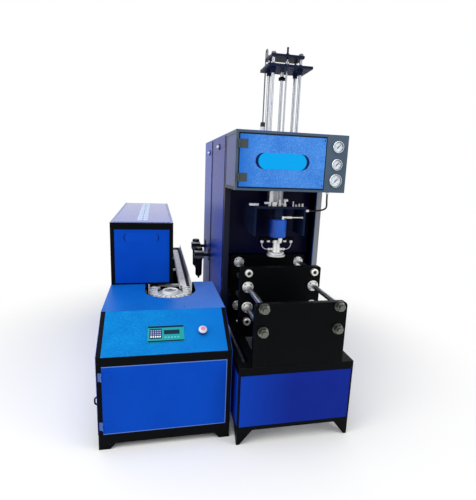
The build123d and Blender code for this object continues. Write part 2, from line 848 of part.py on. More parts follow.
def head_bracket():
    """Plate under the stretch cylinder with two cheeks and the hanger of the seal cylinder."""
    low = bracket_top - bracket_thickness
    left, right = centre_x - bracket_width / 2, centre_x + bracket_width / 2
    shape = block(left, right, bracket_front, bracket_back, low, bracket_top)
    for x in (left, right - cheek_thickness):
        shape += block(x, x + cheek_thickness, bracket_front + 15, bracket_back, cheek_bottom, low)
    shape += round_z(centre_x, axis_y, 35, seal_top, low)
    shape -= round_z(centre_x, axis_y, spindle_radius + 4, seal_top - 1, low)
    return [shape - round_z(centre_x, axis_y, rod_hole_radius, low - 1, bracket_top + 1)]


def seal_cylinder():
    r, c = seal_radius, 5.0
    low, high = seal_bottom, seal_top
    outer = turned([(0, low), (r - c, low), (r, low + c), (r, high - c), (r - c, high), (0, high)])
    outer -= round_z(0, 0, seal_bore, low + seal_cap, high - seal_cap)
    outer -= round_z(0, 0, spindle_radius + fit, low - 1, high + 1)
    return [Pos(centre_x, axis_y, 0) * outer]


collar_z = seal_bottom - 5.0 - carrier_thickness
hose_shares = [math.cos(math.radians(hose_turn * i)) for i in range(5)]
hose_shift = hose_run * sum(hose_shares)
hose_out = hose_reach + hose_shift
hose_top = port_z + hose_shift


def nozzle_spindle():
    """Hollow spindle in one piece: nozzle flange, cone, collar, rod, piston and two ports."""
    base, f = nozzle_bottom, nozzle_flange_radius
    piston_top = seal_top - seal_cap - 4.0
    top = seal_top + nozzle_stroke + 7.0
    s = spindle_radius
    body = turned([
        (0, base), (f - 2, base), (f, base + 2), (f, base + 12), (f - 14, base + 13),
        (f - 14, base + 17), (f - 8, base + 18), (f - 8, base + 27), (f - 12, base + 30),
        (28, base + 30), (23, collar_z - 24), (30, collar_z - 22), (30, collar_z), (s, collar_z),
        (s, piston_top - seal_piston), (seal_bore - fit, piston_top - seal_piston),
        (seal_bore - fit, piston_top), (s, piston_top), (s, top), (0, top),
    ])
    body += round_x(0, port_z, 10, -port_reach, port_reach)
    body -= round_z(0, 0, rod_hole_radius, base - 1, top - 15)
    body -= round_z(0, 0, stretch_rod_radius + fit, top - 16, top + 1)
    body -= turned([(0, base - 1), (16, base - 1), (rod_hole_radius, base + 10), (0, base + 10)])
    return [Pos(centre_x, axis_y, 0) * body]


def nozzle_carrier():
    plate = block(centre_x - carrier_half, centre_x + carrier_half, axis_y - 30, axis_y + 30,
                  collar_z, collar_z + carrier_thickness)
    return [plate - round_z(centre_x, axis_y, spindle_radius + slip, collar_z - 1,
                            collar_z + carrier_thickness + 1)]


def nozzle_fittings():
    """Ball elbows at the spindle ports and the fittings under the carrier."""
    pieces = []
    for side in (-1, 1):
        port = turned([(0, 0), (9, 0), (9, 9), (6, 10), (11, 14), (11, 20), (7, 24), (7, 28), (0, 28)])
        port = Pos(centre_x + side * port_reach, axis_y, port_z) * Rot(0, side * 90, 0) * port
        tall = collar_z - hose_top
        drop = turned([(0, 0), (6, 0), (11, 6), (11, tall - 6), (8, tall - 5), (8, tall), (0, tall)])
        pieces += [port, Pos(centre_x + side * hose_out, axis_y, hose_top) * drop]
        bolt = turned([(0, 0), (11, 0), (12, 2), (12, 14), (8, 14), (8, 16), (0, 16)])
        pieces.append(Pos(centre_x + side * bolt_out, axis_y, collar_z - 16) * bolt)
    return pieces


def nozzle_hose_points(side):
    """Five equal runs that turn from level to upright."""
    points = [(centre_x + side * hose_reach, axis_y, port_z)]
    for level, rise in zip(hose_shares, reversed(hose_shares)):
        x, y, z = points[-1]
        points.append((x + side * hose_run * level, y, z + hose_run * rise))
    return points


def nozzle_hoses():
    hoses = []
    for side in (-1, 1):
        points = nozzle_hose_points(side)
        radii = corner_radii(points)
        print("nozzle hose radii", [round(radius, 1) for radius in radii])
        path = FilletPolyline(*points, radius=radii)
        hoses.append(sweep(Plane(origin=path @ 0, z_dir=path % 0) * Circle(hose_radius), path=path))
    return hoses


def push_fitting(x, y, height, radius):
    return Pos(x, y, bracket_top) * turned([
        (0, 0), (radius + 2, 0), (radius + 2, height * 0.35), (radius, height * 0.4),
        (radius, height), (0, height),
    ])


def lying_fittings(y):
    """Fittings that lie along the bracket: valve at its left end, elbow, block and grey tee."""
    top = bracket_top
    left = centre_x - bracket_width / 2
    valve = round_x(y, top + 9, 8, left - 36, left + 24) + round_x(y, top + 9, 9, left - 6, left + 6)
    valve += round_z(left + 15, y, 5, top, top + 9)
    bent = round_x(y, top + 20, 7, centre_x - 112, centre_x - 76)
    bent += round_z(centre_x - 76, y, 8, top, top + 28)
    low_block = block(centre_x - 60, centre_x - 32, y - 12, y + 12, top, top + 28)
    tee = round_z(centre_x + 28, y, 11, top, top + 16) + round_z(centre_x + 28, y, 7, top + 16, top + 40)
    tee += round_x(y, top + 40, 9, centre_x + 20, centre_x + 46)
    return [valve, bent, low_block, tee]


def bracket_fittings():
    """Push-in fittings on the bracket and the feed of the seal cylinder."""
    y = bracket_front + 25
    rows = [(343 - centre_x, 44, 7), (436 - centre_x, 34, 4), (456 - centre_x, 14, 5),
            (478 - centre_x, 18, 5), (501 - centre_x, 20, 6)]
    pieces = [push_fitting(centre_x + x, y, height, radius) for x, height, radius in rows]
    pieces += lying_fittings(y)
    x, y = centre_x + 24, axis_y - 38
    feed_z = seal_top + 15
    elbow = round_z(x, y, 8, seal_top, feed_z + 7) + round_x(y, feed_z, 6, x, x + 26)
    cheek = centre_x + bracket_width / 2 - cheek_thickness
    pieces.append(elbow)
    pieces.append(round_x(y, feed_z, 7.5, x + 26, x + 60))
    pieces.append(round_x(y, feed_z, 4, x + 60, cheek - 10))
    pieces.append(round_x(y, feed_z, 7, cheek - 10, cheek))
    cone = turned([(0, 0), (10, 0), (14, 22), (14, 30), (9, 33), (0, 33)])
    pieces.append(Pos(centre_x + 10, axis_y - 47, seal_bottom - 33) * cone)
    gland_x, gland_y, gland = hose_gland
    pieces.append(round_z(gland_x, gland_y, 9, head_bottom - gland, head_bottom))
    socket_y, socket_z, socket = hose_socket
    outer = centre_x + bracket_width / 2
    pieces.append(round_x(socket_y, socket_z, 8.5, outer, outer + socket))
    return pieces


hose_gland = (615.0, 380.0, 14.0)
hose_socket = (500.0, 1330.0, 22.0)
hose_start = head_bottom - hose_gland[2]
hose_end = centre_x + bracket_width / 2 + hose_socket[2]
head_hose_points = (
    (615, 380, hose_start), (615, 380, hose_start - 34.4), (hose_end + 77.6, 393.1, hose_start - 67.4),
    (hose_end + 87.9, 419.7, hose_start - 90.9), (hose_end + 85.3, 453.1, 1344),
    (hose_end + 66.1, 482.8, 1334.4), (hose_end + 34.4, 500, 1330), (hose_end, 500, 1330),
)


def corner_radii(points):
    """Largest arc for each corner of a hose, from its two runs and its turn."""
    radii = []
    for before, here, after in zip(points, points[1:], points[2:]):
        arrive = Vector(here) - Vector(before)
        leave = Vector(after) - Vector(here)
        turn = math.radians(arrive.get_angle(leave))
        shorter = min(arrive.length, leave.length)
        radii.append(0.45 * shorter / math.tan(turn / 2))
    return radii


def head_hose():
    radii = corner_radii(head_hose_points)
    print("head hose radii", [round(radius) for radius in radii])
    path = FilletPolyline(*head_hose_points, radius=radii)
    return [sweep(Plane(origin=path @ 0, z_dir=path % 0) * Circle(5.5), path=path)]


def air_filters():
    """Two filters on the cabinet side: bracket, head block, band, cap and bowl."""
    pieces = []
    x = -filter_reach
    for inset, rise in filters:
        y, top = station_depth - inset, base_height + rise
        block_low = top - 82
        bracket = block(-sheet - 6, -sheet, y - 30, y + 30, block_low - 20, top)
        body = block(x - 40, x + 40, y - 38, y + 38, block_low, top - 26)
        body += block(x + 39, -sheet - 6, y - 14, y + 14, block_low + 14, top - 44)
        band = round_z(x, y, 35, top - 26, top - 16)
        cap = Pos(x, y, top - 16) * turned([(0, 0), (32, 0), (32, 16), (26, 24), (0, 24)])
        bowl = Pos(x, y, block_low) * turned([
            (0, 0), (34, 0), (34, -14), (30, -20), (28, -150), (18, -164), (8, -168), (8, -182), (0, -182)])
        pieces += [bracket, body, band, cap, bowl]
    return pieces


# Preform oven body

slope_length = math.hypot(table_y - oven_y, table_z - console_z)
slope_angle = math.degrees(math.atan2(table_z - console_z, table_y - oven_y))
slope = Plane(origin=(0, oven_y, console_z), x_dir=(1, 0, 0),
              z_dir=(0, -math.sin(math.radians(slope_angle)), math.cos(math.radians(slope_angle))))


def on_slope(x0, x1, s0, s1, n0, n1):
    """Box in the console's own plane: across, up the slope and out of it."""
    return slope.location * block(x0, x1, s0, s1, n0, n1)


def slope_height(y):
    return console_z + (y - oven_y) * math.tan(math.radians(slope_angle))


def side_profile(x, width, points):
    """Solid of one (y, z) outline, from x to x + width."""
    plane = Plane(origin=(x, 0, 0), x_dir=(0, 1, 0), z_dir=(1, 0, 0))
    return extrude(make_face(plane * Polyline(*points, close=True)), width)


def side_slope_bar(x):
    y0, y1 = oven_y + header_depth, table_y
    deep = oven_tube / math.cos(math.radians(slope_angle))
    z0, z1 = slope_height(y0), table_z
    return side_profile(x, oven_tube, [(y0, z0 - deep), (y1, z1 - deep), (y1, z1), (y0, z0)])


def header_bar():
    """Bar over the door, its top cut to the console's slope and let in for the console."""
    y0, y1 = oven_y, oven_y + header_depth
    bar = side_profile(oven_left, oven_right - oven_left, [
        (y0, header_bottom), (y1, header_bottom), (y1, slope_height(y1)), (y0, console_z)])
    return bar - on_slope(oven_left + oven_tube, oven_right - oven_tube, -9, 60, -sheet, 9)


def oven_frame():
    t = oven_tube
    left, right, rear = oven_left, oven_right, rear_right
    table_low = table_z - sheet - t
    bars = []
    for x in (left, right - t):
        bars.append(block(x, x + t, oven_y, oven_y + t, oven_base, header_bottom))
        bars.append(block(x, x + t, oven_y + t, table_back - t, oven_base, oven_rail_top))
        bars.append(block(x, x + t, table_back - t, table_back, oven_base, table_low))
        bars.append(block(x, x + t, table_y, table_back, table_low, table_z - sheet))
        bars.append(side_slope_bar(x))
    bars.append(header_bar())
    bars.append(block(tunnel_right - tunnel_tube, tunnel_right, oven_back - t, oven_back, 685, table_z))
    bars.append(block(left + t, right - t, oven_y, oven_y + t, oven_base, oven_rail_top))
    bars.append(block(left, left + t, table_back, oven_back - t, oven_base, oven_rail_top))
    bars.append(block(rear - t, rear, table_back, oven_back - t, oven_base, oven_rail_top))
    bars.append(block(rear - t, rear, table_back, oven_back - t, 660, 685))
    bars.append(block(left, left + t, table_back, oven_back - t, table_z - t, table_z))
    for x in (left, rear - t):
        bars.append(block(x, x + t, oven_back - t, oven_back, oven_base, 660))
    bars.append(block(left, rear, oven_back - t, oven_back, 660, 685))
    bars.append(block(left, left + t, oven_back - t, oven_back, 685, table_z))
    bars.append(block(left + t, rear - t, oven_back - t, oven_back, oven_base, oven_rail_top))
    return bars + cross_members() + tunnel_frame()


def cross_members():
    """Low bars that carry the wheel pedestals, the chain bed and the lamp tray."""
    t = oven_tube
    half = cross_bar_width / 2
    low, high = cross_bar_top - 25, cross_bar_top
    front = block(oven_left + t, oven_right - t, wheel_y - half, wheel_y + half, low, high)
    front -= round_z(wheel_x, wheel_y, wheel_shaft_radius + 3, low - 1, high + 1)
    rear = block(oven_left + t, rear_right - t, rear_wheel_y - half, rear_wheel_y + half, low, high)
    rear -= round_z(wheel_x, rear_wheel_y, wheel_shaft_radius + 3, low - 1, high + 1)
    spine = block(wheel_x - 20, wheel_x + 20, wheel_y + half, rear_wheel_y - half, low, high)
    y0 = oven_y + header_depth
    rails = [block(oven_left, oven_left + t, y0, oven_back - t, low, high)]
    rails.append(block(oven_right - t, oven_right, y0, table_back - t, low, high))
    rails.append(block(rear_right - t, rear_right, table_back, oven_back - t, low, high))
    rails = [rails[0] - block(oven_left - 1, oven_left + t + 1, table_back - t, table_back, low - 1, high + 1),
             rails[1], rails[2]]
    pieces = [front, rear, spine]
    for rail in rails:
        pieces += rail.solids()
    for y in (tray_front + 50, tray_back - 60):
        pieces.append(block(oven_left + t, wheel_x - 20, y, y + t, low, high))
    return pieces


def tunnel_frame():
    t, left, right = tunnel_tube, oven_left, tunnel_right
    y0, y1 = tunnel_y, oven_back
    low, high = table_z, tunnel_top
    bars = [block(x, x + t, y, y + t, low, high - tunnel_bar)
            for x in (left, right - t) for y in (y0, y1 - t)]
    bars += [block(left, right, y, y + t, high - tunnel_bar, high) for y in (y0, y1 - t)]
    bars += [block(x, x + t, y0 + t, y1 - t, high - tunnel_bar, high) for x in (left, right - t)]
    bars += [block(left + t, right - t, y, y + t, low, low + tunnel_sill) for y in (y0, y1 - t)]
    bars += [block(x, x + t, y0 + t, y1 - t, low, low + tunnel_sill) for x in (left, right - t)]
    return bars


def side_sheet(x, y0, y1):
    """Side of the front cabinet, following the console's slope."""
    low = oven_rail_top + 2
    outline = Polyline((y0, low), (y1, low), (y1, table_z), (table_y, table_z), (y0, console_z), close=True)
    plane = Plane(origin=(x, 0, 0), x_dir=(0, 1, 0), z_dir=(1, 0, 0))
    return extrude(make_face(plane * outline), sheet)


def oven_panels():
    low = oven_rail_top + 2
    t = sheet
    return [
        side_sheet(oven_left - t, oven_y, table_back),
        side_sheet(oven_right, oven_y, table_back),
        block(oven_left - t, oven_left, table_back + 2, oven_back, low, table_z),
        block(rear_right, rear_right + t, table_back + t, oven_back, low, 685),
        block(rear_right, oven_right, table_back, table_back + t, low, table_z - t),
        block(oven_left, rear_right, oven_back, oven_back + t, low, 685),
    ]


def oven_door():
    right = oven_right - oven_tube - swing_gap
    low = oven_rail_top + swing_gap
    high = header_bottom - swing_gap
    door = door_pan(oven_door_left, right, oven_door_y, low, high, door_depth)
    for z in oven_hinge_heights:
        door += moving_hinge(oven_axis[0], oven_axis[1], z, oven_door_y)
    return [door]


def console_panel():
    t = oven_tube
    top_end = slope_length - sheet * math.tan(math.radians(slope_angle)) - slip
    panel = on_slope(oven_left + t, oven_right - t, 0, top_end, -sheet, 0)
    w, h = panel_body[0] / 2 + slip, panel_body[1] / 2 + slip
    panel -= on_slope(panel_x - w, panel_x + w, panel_up - h, panel_up + h, -2 * sheet, sheet)
    panel -= slope.location * round_z(button_x, button_up, 14 + slip, -2 * sheet, sheet)
    return [panel]


def top_plate():
    """Table sheet with a round-ended cut-out, open at the back, over the front wheel."""
    plate = block(oven_left, oven_right, table_y, table_back, table_z - sheet, table_z)
    plate -= round_z(wheel_x, wheel_y, cutout_radius, table_z - 2 * sheet, table_z + 1)
    plate -= block(wheel_x - cutout_radius, wheel_x + cutout_radius, wheel_y, table_back + 1,
                   table_z - 2 * sheet, table_z + 1)
    return [plate]


def operator_panel():
    """Flanged instrument: rounded flange on the console, body through it, display recess."""
    w, h = panel_size[0] / 2, panel_size[1] / 2
    bw, bh, depth = panel_body[0] / 2, panel_body[1] / 2, panel_body[2]
    flange = on_slope(panel_x - w, panel_x + w, panel_up - h, panel_up + h, 0, panel_flange)
    body = on_slope(panel_x - bw, panel_x + bw, panel_up - bh, panel_up + bh, -depth, 0)
    window = on_slope(panel_x - 12, panel_x + 78, panel_up - 6, panel_up + 24, panel_flange - 1, 9)
    return [flange + body - window]


def button_collar():
    """Switch body below the console and the round collar on top of it."""
    shape = turned([
        (0, -36), (14, -36), (14, 0), (21, 0), (21, 7), (18, 10), (8 + fit, 10), (8 + fit, -22), (0, -22)])
    return [slope.location * Pos(button_x, button_up, 0) * shape]


def stop_button():
    """Mushroom button with its stem in the collar."""
    r = button_radius
    base = 10 + button_travel + 3
    dome = [(r * math.cos(a), base + 7 + 9 * math.sin(a)) for a in (0, 0.4, 0.8, 1.2)]
    shape = turned([(0, -12), (8, -12), (8, base), (r - 2, base), (r, base + 2)] + dome + [(0, base + 16)])
    return [slope.location * Pos(button_x, button_up, 0) * shape]


def lifting_loop():
    """Bent round bar on the oven's left side, near the floor."""
    x, y = oven_left - sheet, 205.0
    path = FilletPolyline((x, y, 208), (x - 30, y, 208), (x - 30, y, 258), (x, y, 258), radius=18)
    loop = sweep(Plane(origin=path @ 0, z_dir=path % 0) * Circle(5), path=path)
    return [loop]


def tunnel_panels():
    t, left, right = tunnel_tube, oven_left, tunnel_right
    y0, y1 = tunnel_y, oven_back
    low, high = table_z + tunnel_sill, tunnel_top - tunnel_bar
    front = block(left + t, right - t, y0 + 2, y0 + 2 + sheet, low, high)
    boss_x = (left + right) / 2 + front_boss_shift
    front += stadium_boss(boss_x, tunnel_top - front_boss_drop, front_boss_length,
                          front_boss_height, y0 + 2, 0.8)
    return [
        front,
        block(left + t, right - t, y1 - 4, y1 - 2, low, high),
        block(left + 2, left + 4, y0 + t, y1 - t, low, high),
        block(right - 4, right - 2, y0 + t, y1 - t, low, high),
    ]


def tunnel_lid():
    """Roof sheet of the tunnel with a column of vent slots along its middle."""
    edge = 22.0
    lid = block(oven_left + edge, tunnel_right - edge, tunnel_y + edge, oven_back - edge,
                tunnel_top, tunnel_top + sheet)
    middle = (oven_left + tunnel_right) / 2
    first, last = tunnel_y + 150, oven_back - 90
    step = (last - first) / (vent_count - 1)
    for i in range(vent_count):
        y = first + i * step
        lid -= block(middle - vent_width / 2, middle + vent_width / 2, y - vent_length / 2,
                     y + vent_length / 2, tunnel_top - 1, tunnel_top + sheet + 1)
    return [lid]


# Chain conveyor

def stadium_loop(outer, inner, z0, z1):
    """Closed band round both wheels."""
    length = rear_wheel_y - wheel_y
    middle = Pos(wheel_x, (wheel_y + rear_wheel_y) / 2, z0) * Rot(0, 0, 90)
    ring = SlotCenterToCenter(length, 2 * outer) - SlotCenterToCenter(length, 2 * inner)
    return middle * extrude(ring, z1 - z0)


def preform_chain():
    return [stadium_loop(band_outer, band_inner, band_bottom, fork_z)]


def fork_plate():
    """One fork plate pointing along +X from the wheel axis: a U notch holds a preform's neck."""
    half = (fork_pitch - fork_gap) / 2
    blank = Pos((fork_inner + fork_outer) / 2, 0) * Rectangle(fork_outer - fork_inner, 2 * half)
    notch = Pos(notch_centre, 0) * Circle(notch_radius)
    mouth = Pos((notch_centre + fork_outer + 1) / 2, 0) * Rectangle(
        fork_outer + 1 - notch_centre, 2 * notch_radius)
    narrow = math.tan(math.pi / fork_count) * fork_inner - fork_gap / 2
    reach = math.tan(math.pi / fork_count) * (band_pitch_radius - fork_inner)
    corners = []
    for side in (-1, 1):
        corners.append(make_face(Polyline(
            (fork_inner, side * narrow), (fork_inner, side * (half + 1)),
            (fork_inner + 1.05 * (half - narrow) / math.tan(math.pi / fork_count), side * (half + 1)),
            close=True)))
    shape = blank - notch - mouth
    if reach > 0:
        for corner in corners:
            shape -= corner
    return extrude(shape, fork_thickness)


def fork_plates():
    fork = fork_plate()
    step = 360 / fork_count
    plates = []
    for i in range(fork_count // 2):
        angle = 180 + (i + 0.5) * step
        plates.append(Pos(wheel_x, wheel_y, fork_z) * Rot(0, 0, angle) * fork)
        plates.append(Pos(wheel_x, rear_wheel_y, fork_z) * Rot(0, 0, angle - 180) * fork)
    for i in range(straight_forks):
        y = wheel_y + (i + 0.5) * fork_pitch
        plates.append(Pos(wheel_x, y, fork_z) * fork)
        plates.append(Pos(wheel_x, y, fork_z) * Rot(0, 0, 180) * fork)
    return plates


def chain_wheel(y, hub_top, shaft_bottom):
    """Wheel with a flange under the band, a dished hub and its shaft."""
    low = band_bottom - 8
    rim = band_inner - slip
    shape = turned([
        (0, shaft_bottom), (wheel_shaft_radius, shaft_bottom), (wheel_shaft_radius, low - 12),
        (30, low - 12), (30, low), (band_outer + 2, low), (band_outer + 2, band_bottom - slip),
        (rim, band_bottom - slip), (rim, band_bottom + 5), (57, band_bottom + 5), (54, hub_top),
        (44, hub_top), (40, hub_top - 9), (13, hub_top - 9), (13, hub_top - 1), (9, hub_top + 3),
        (0, hub_top + 3),
    ])
    return [Pos(wheel_x, y, 0) * shape]


def front_wheel():
    return chain_wheel(wheel_y, table_z + 1.0, cross_bar_top - 60)


def rear_wheel():
    return chain_wheel(rear_wheel_y, table_z - 8.0, cross_bar_top - 20)


def wheel_bearings():
    """Pedestals on the cross members, bored for the wheel shafts."""
    low, high = cross_bar_top, band_bottom - 20 - slip
    bore = wheel_shaft_radius + fit
    pedestal = turned([
        (bore, low), (46, low), (46, low + 12), (30, low + 18), (26, high - 30), (34, high - 24),
        (34, high), (bore, high),
    ])
    return [Pos(wheel_x, y, 0) * pedestal for y in (wheel_y, rear_wheel_y)]


def chain_rails():
    """Outer guide rails, the bed under the band with its pillars, and the cover of the return run."""
    bed_y0, bed_y1 = wheel_y + band_outer + 6, rear_wheel_y - band_outer - 6
    half = band_outer + 2
    low = band_bottom - 6
    bed = block(wheel_x - half, wheel_x - bed_inner, bed_y0, bed_y1, low, band_bottom)
    bed += block(wheel_x + bed_inner, wheel_x + half, bed_y0, bed_y1, low, band_bottom)
    for share in (0.1, 0.5, 0.9):
        y = bed_y0 + share * (bed_y1 - bed_y0)
        bed += block(wheel_x - half, wheel_x + half, y - 15, y + 15, low - 14, low)
        bed += block(wheel_x - 15, wheel_x + 15, y - 15, y + 15, cross_bar_top, low - 14)
    inner = fork_outer + rail_gap
    right = wheel_x + inner
    left = wheel_x - inner
    right_rail = block(right, right + rail_thickness, wheel_y - 5, rear_wheel_y, 685, rail_top)
    right_foot = block(right, rear_right - oven_tube + 8, table_back, rear_wheel_y, 685, 688)
    left_rail = block(left - rail_thickness, left, wheel_y - 5, rear_wheel_y, 685, table_z - 3)
    left_post = block(left - rail_thickness, left, wheel_y - 17, wheel_y - 5, 685, rail_top)
    arms = []
    for share in (0.1, 0.45, 0.8):
        y = table_back + share * (rear_wheel_y - table_back)
        arms.append(block(oven_left + oven_tube, left - rail_thickness, y, y + 20, 688, 712))
    return [bed, right_rail + right_foot, left_rail + left_post, run_cover(bed_y0, bed_y1)] + arms


def run_cover(bed_y0, bed_y1):
    """Angle strip that stands on the bed and covers the chain on its way back."""
    x0, x1 = wheel_x + cover_inner, wheel_x + cover_outer
    high = fork_z + fork_thickness + 2.0
    strip = block(x0, x1, bed_y0, rear_wheel_y, high, high + sheet)
    strip += block(x0, x0 + sheet, bed_y0, bed_y1, band_bottom, high)
    middle = (x0 + x1) / 2
    return strip - round_z(middle, bed_y0 + 198, 8, high - 1, high + sheet + 1)


def oven_lamps():
    """Quartz lamps on both sides of the heated run."""
    run = wheel_x - notch_centre
    y0, y1 = tray_front + lamp_holder, tray_back - lamp_holder
    lowest = (cross_bar_top + tray_top) / 2 - lamp_spacing
    return [round_y(x, lowest + i * lamp_spacing, lamp_radius, y0, y1)
            for x in (run - lamp_reach, run + lamp_reach) for i in range(3)]


def lamp_tray():
    """Reflector tray around the heated run, with the ceramic lamp holders."""
    run = wheel_x - notch_centre
    left, right = run - tray_half, run + tray_half
    floor = cross_bar_top + sheet
    tray = block(left, right, tray_front, tray_back, cross_bar_top, tray_top)
    tray -= block(left + sheet, right - sheet, tray_front - 1, tray_back + 1, floor, tray_top + 1)
    holders = [block(x, x + lamp_holder_width, y, y + lamp_holder, floor, tray_top - 8)
               for x in (left + sheet, right - sheet - lamp_holder_width)
               for y in (tray_front, tray_back - lamp_holder)]
    return [tray] + holders


def drive_motor():
    """Gearbox under the front cross member with the motor below it."""
    top = cross_bar_top - 25
    box = block(wheel_x - 70, wheel_x + 70, wheel_y - 60, wheel_y + 60, top - 120, top)
    box = fillet(box.edges().filter_by(Axis.Z), 12)
    motor = turned([
        (0, top - 330), (50, top - 330), (58, top - 322), (58, top - 270), (62, top - 268),
        (62, top - 140), (75, top - 132), (75, top - 120), (0, top - 120)])
    body = box + Pos(wheel_x, wheel_y, 0) * motor
    return [body - round_z(wheel_x, wheel_y, wheel_shaft_radius + fit, top - 42, top + 1)]


nodes = {
    "base_frame": base_frame(),
    "base_panels": base_panels(),
    "corner_feet": corner_feet(),
    "front_plate": front_plate(),
    "tie_bars": tie_bars(),
    "hex_nuts": hex_nuts(),
    "rear_platen": rear_platen(),
    "rod_bushings": rod_bushings(),
    "clamp_cylinder": clamp_cylinder(),
    "front_platen": front_platen(),
    "platen_bushings": platen_bushings(),
    "pull_rods": pull_rods(),
    "crosshead": crosshead(),
    "clamp_piston_rod": clamp_piston_rod(),
    "cabinet_frame": cabinet_frame(),
    "cabinet_panels": cabinet_panels() + head_panels(),
    "head_frame": head_frame(),
    "head_door": head_door(),
    "door_hinges": door_hinges(),
    "gauge_cases": gauge_cases(),
    "gauge_lenses": gauge_lenses(),
    "guide_rods": guide_rods(),
    "crown_plate": crown_plate(),
    "carriage_plate": carriage_plate(),
    "stretch_rod": stretch_rod(),
    "stretch_cylinder": stretch_cylinder(),
    "stretch_piston_rod": stretch_piston_rod(),
    "tower_air_line": tower_air_line(),
    "head_bracket": head_bracket(),
    "seal_cylinder": seal_cylinder(),
    "nozzle_spindle": nozzle_spindle(),
    "nozzle_carrier": nozzle_carrier(),
    "nozzle_fittings": nozzle_fittings(),
    "nozzle_hoses": nozzle_hoses(),
    "bracket_fittings": bracket_fittings(),
    "head_hose": head_hose(),
    "air_filters": air_filters(),
    "oven_frame": oven_frame(),
    "oven_panels": oven_panels(),
    "oven_door": oven_door(),
    "console_panel": console_panel(),
    "top_plate": top_plate(),
    "operator_panel": operator_panel(),
    "stop_button": stop_button(),
    "button_collar": button_collar(),
    "lifting_loop": lifting_loop(),
    "tunnel_panels": tunnel_panels(),
    "tunnel_lid": tunnel_lid(),
    "preform_chain": preform_chain(),
    "fork_plates": fork_plates(),
    "front_wheel": front_wheel(),
    "rear_wheel": rear_wheel(),
    "wheel_bearings": wheel_bearings(),
    "chain_rails": chain_rails(),
    "oven_lamps": oven_lamps(),
    "lamp_tray": lamp_tray(),
    "drive_motor": drive_motor(),
}
for name, (height, bezel) in gauges.items():
    nodes["gauge_pointer_" + name] = gauge_pointer(height, bezel)

whole = Compound([piece for name, pieces in nodes.items() if name != "head_hose" for piece in pieces])
bounds = whole.bounding_box()
to_origin = Location((-(bounds.min.X + bounds.max.X) / 2, -(bounds.min.Y + bounds.max.Y) / 2, 0))
print("origin moved by", to_origin.position)

os.makedirs("parts", exist_ok=True)
for name, pieces in nodes.items():
    solids = [solid for piece in pieces for solid in piece.solids()]
    export_step(Compound(solids).moved(to_origin), "parts/" + name + ".step")
print(len(nodes), "nodes written")
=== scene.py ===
import math

import bmesh
import bpy
from mathutils import Matrix, Vector


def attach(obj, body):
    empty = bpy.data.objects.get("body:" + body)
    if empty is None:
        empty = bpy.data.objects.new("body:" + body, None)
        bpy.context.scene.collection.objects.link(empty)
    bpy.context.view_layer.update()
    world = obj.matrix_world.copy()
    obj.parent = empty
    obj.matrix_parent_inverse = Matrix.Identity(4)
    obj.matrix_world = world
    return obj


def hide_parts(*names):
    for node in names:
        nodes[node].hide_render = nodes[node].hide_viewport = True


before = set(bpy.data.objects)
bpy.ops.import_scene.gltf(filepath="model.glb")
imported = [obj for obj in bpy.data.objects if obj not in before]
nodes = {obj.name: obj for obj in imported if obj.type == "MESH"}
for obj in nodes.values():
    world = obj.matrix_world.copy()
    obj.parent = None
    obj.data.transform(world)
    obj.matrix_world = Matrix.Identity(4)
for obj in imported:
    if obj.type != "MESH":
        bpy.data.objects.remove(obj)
scene = bpy.context.scene
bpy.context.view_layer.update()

# millimetres from the blow station's front left corner: the scene's middle, then the main faces
machine = {
    "middleX": -54.5, "middleY": 1195.0, "width": 700.0, "back": 1741.0, "baseTop": 480.0,
    "headFront": 321.5, "cabinetFront": 630.0, "sideFront": 640.0, "recessFront": 642.0,
    "panelSeam": 1275.0, "underRoof": 1800.0,
}


def at(x, y, z):
    # millimetres on the machine, to the scene's metres
    return Vector((x - machine["middleX"], y - machine["middleY"], z)) / 1000


# camera at standing eye height, a little left of the gap between both halves; metres and radians
cameraSetup = {
    "place": (-0.396, -3.1124, 1.58), "yaw": 0.2138, "pitch": 0.2055, "roll": 0.0395, "lens": 27.62,
    "sensor": 36, "reach": 60,
}


def aimCamera(setup):
    yaw, pitch, roll = setup["yaw"], setup["pitch"], setup["roll"]
    ahead = Vector((math.sin(yaw) * math.cos(pitch), math.cos(yaw) * math.cos(pitch), -math.sin(pitch)))
    level = Vector((math.cos(yaw), -math.sin(yaw), 0))
    upright = level.cross(ahead)
    right = math.cos(roll) * level + math.sin(roll) * upright
    up = -math.sin(roll) * level + math.cos(roll) * upright
    data = bpy.data.cameras.new("photoCamera")
    data.sensor_width = setup["sensor"]
    data.lens = setup["lens"]
    data.clip_end = setup["reach"]
    camera = bpy.data.objects.new("photoCamera", data)
    turn = Matrix((right, up, -ahead)).transposed().to_4x4()
    camera.matrix_world = Matrix.Translation(setup["place"]) @ turn
    scene.collection.objects.link(camera)
    scene.camera = camera


aimCamera(cameraSetup)
print("camera placed")

# black rubber hose from under the head to the blow head, in metres
headHose = {
    "diameter": 0.011, "length": 0.245, "exit": (0.6695, -0.815, 1.450),
    "points": (
        (0.6695, -0.815, 1.450), (0.6695, -0.815, 1.4156), (0.6791, -0.8019, 1.3826),
        (0.6894, -0.7753, 1.3591), (0.6868, -0.7419, 1.344), (0.6676, -0.7122, 1.3344),
        (0.6359, -0.695, 1.330), (0.6015, -0.695, 1.330),
    ),
}
# braided hose at each side of the nozzle: how far out from the middle and how high each point lies
nozzleHose = {
    "diameter": 0.006, "length": 0.067, "middle": 0.4045, "back": -0.650,
    "bows": (
        (0.062, 1.060), (0.0755, 1.060), (0.08797, 1.06517), (0.09752, 1.07471),
        (0.102685, 1.08719), (0.102685, 1.100685),
    ),
}


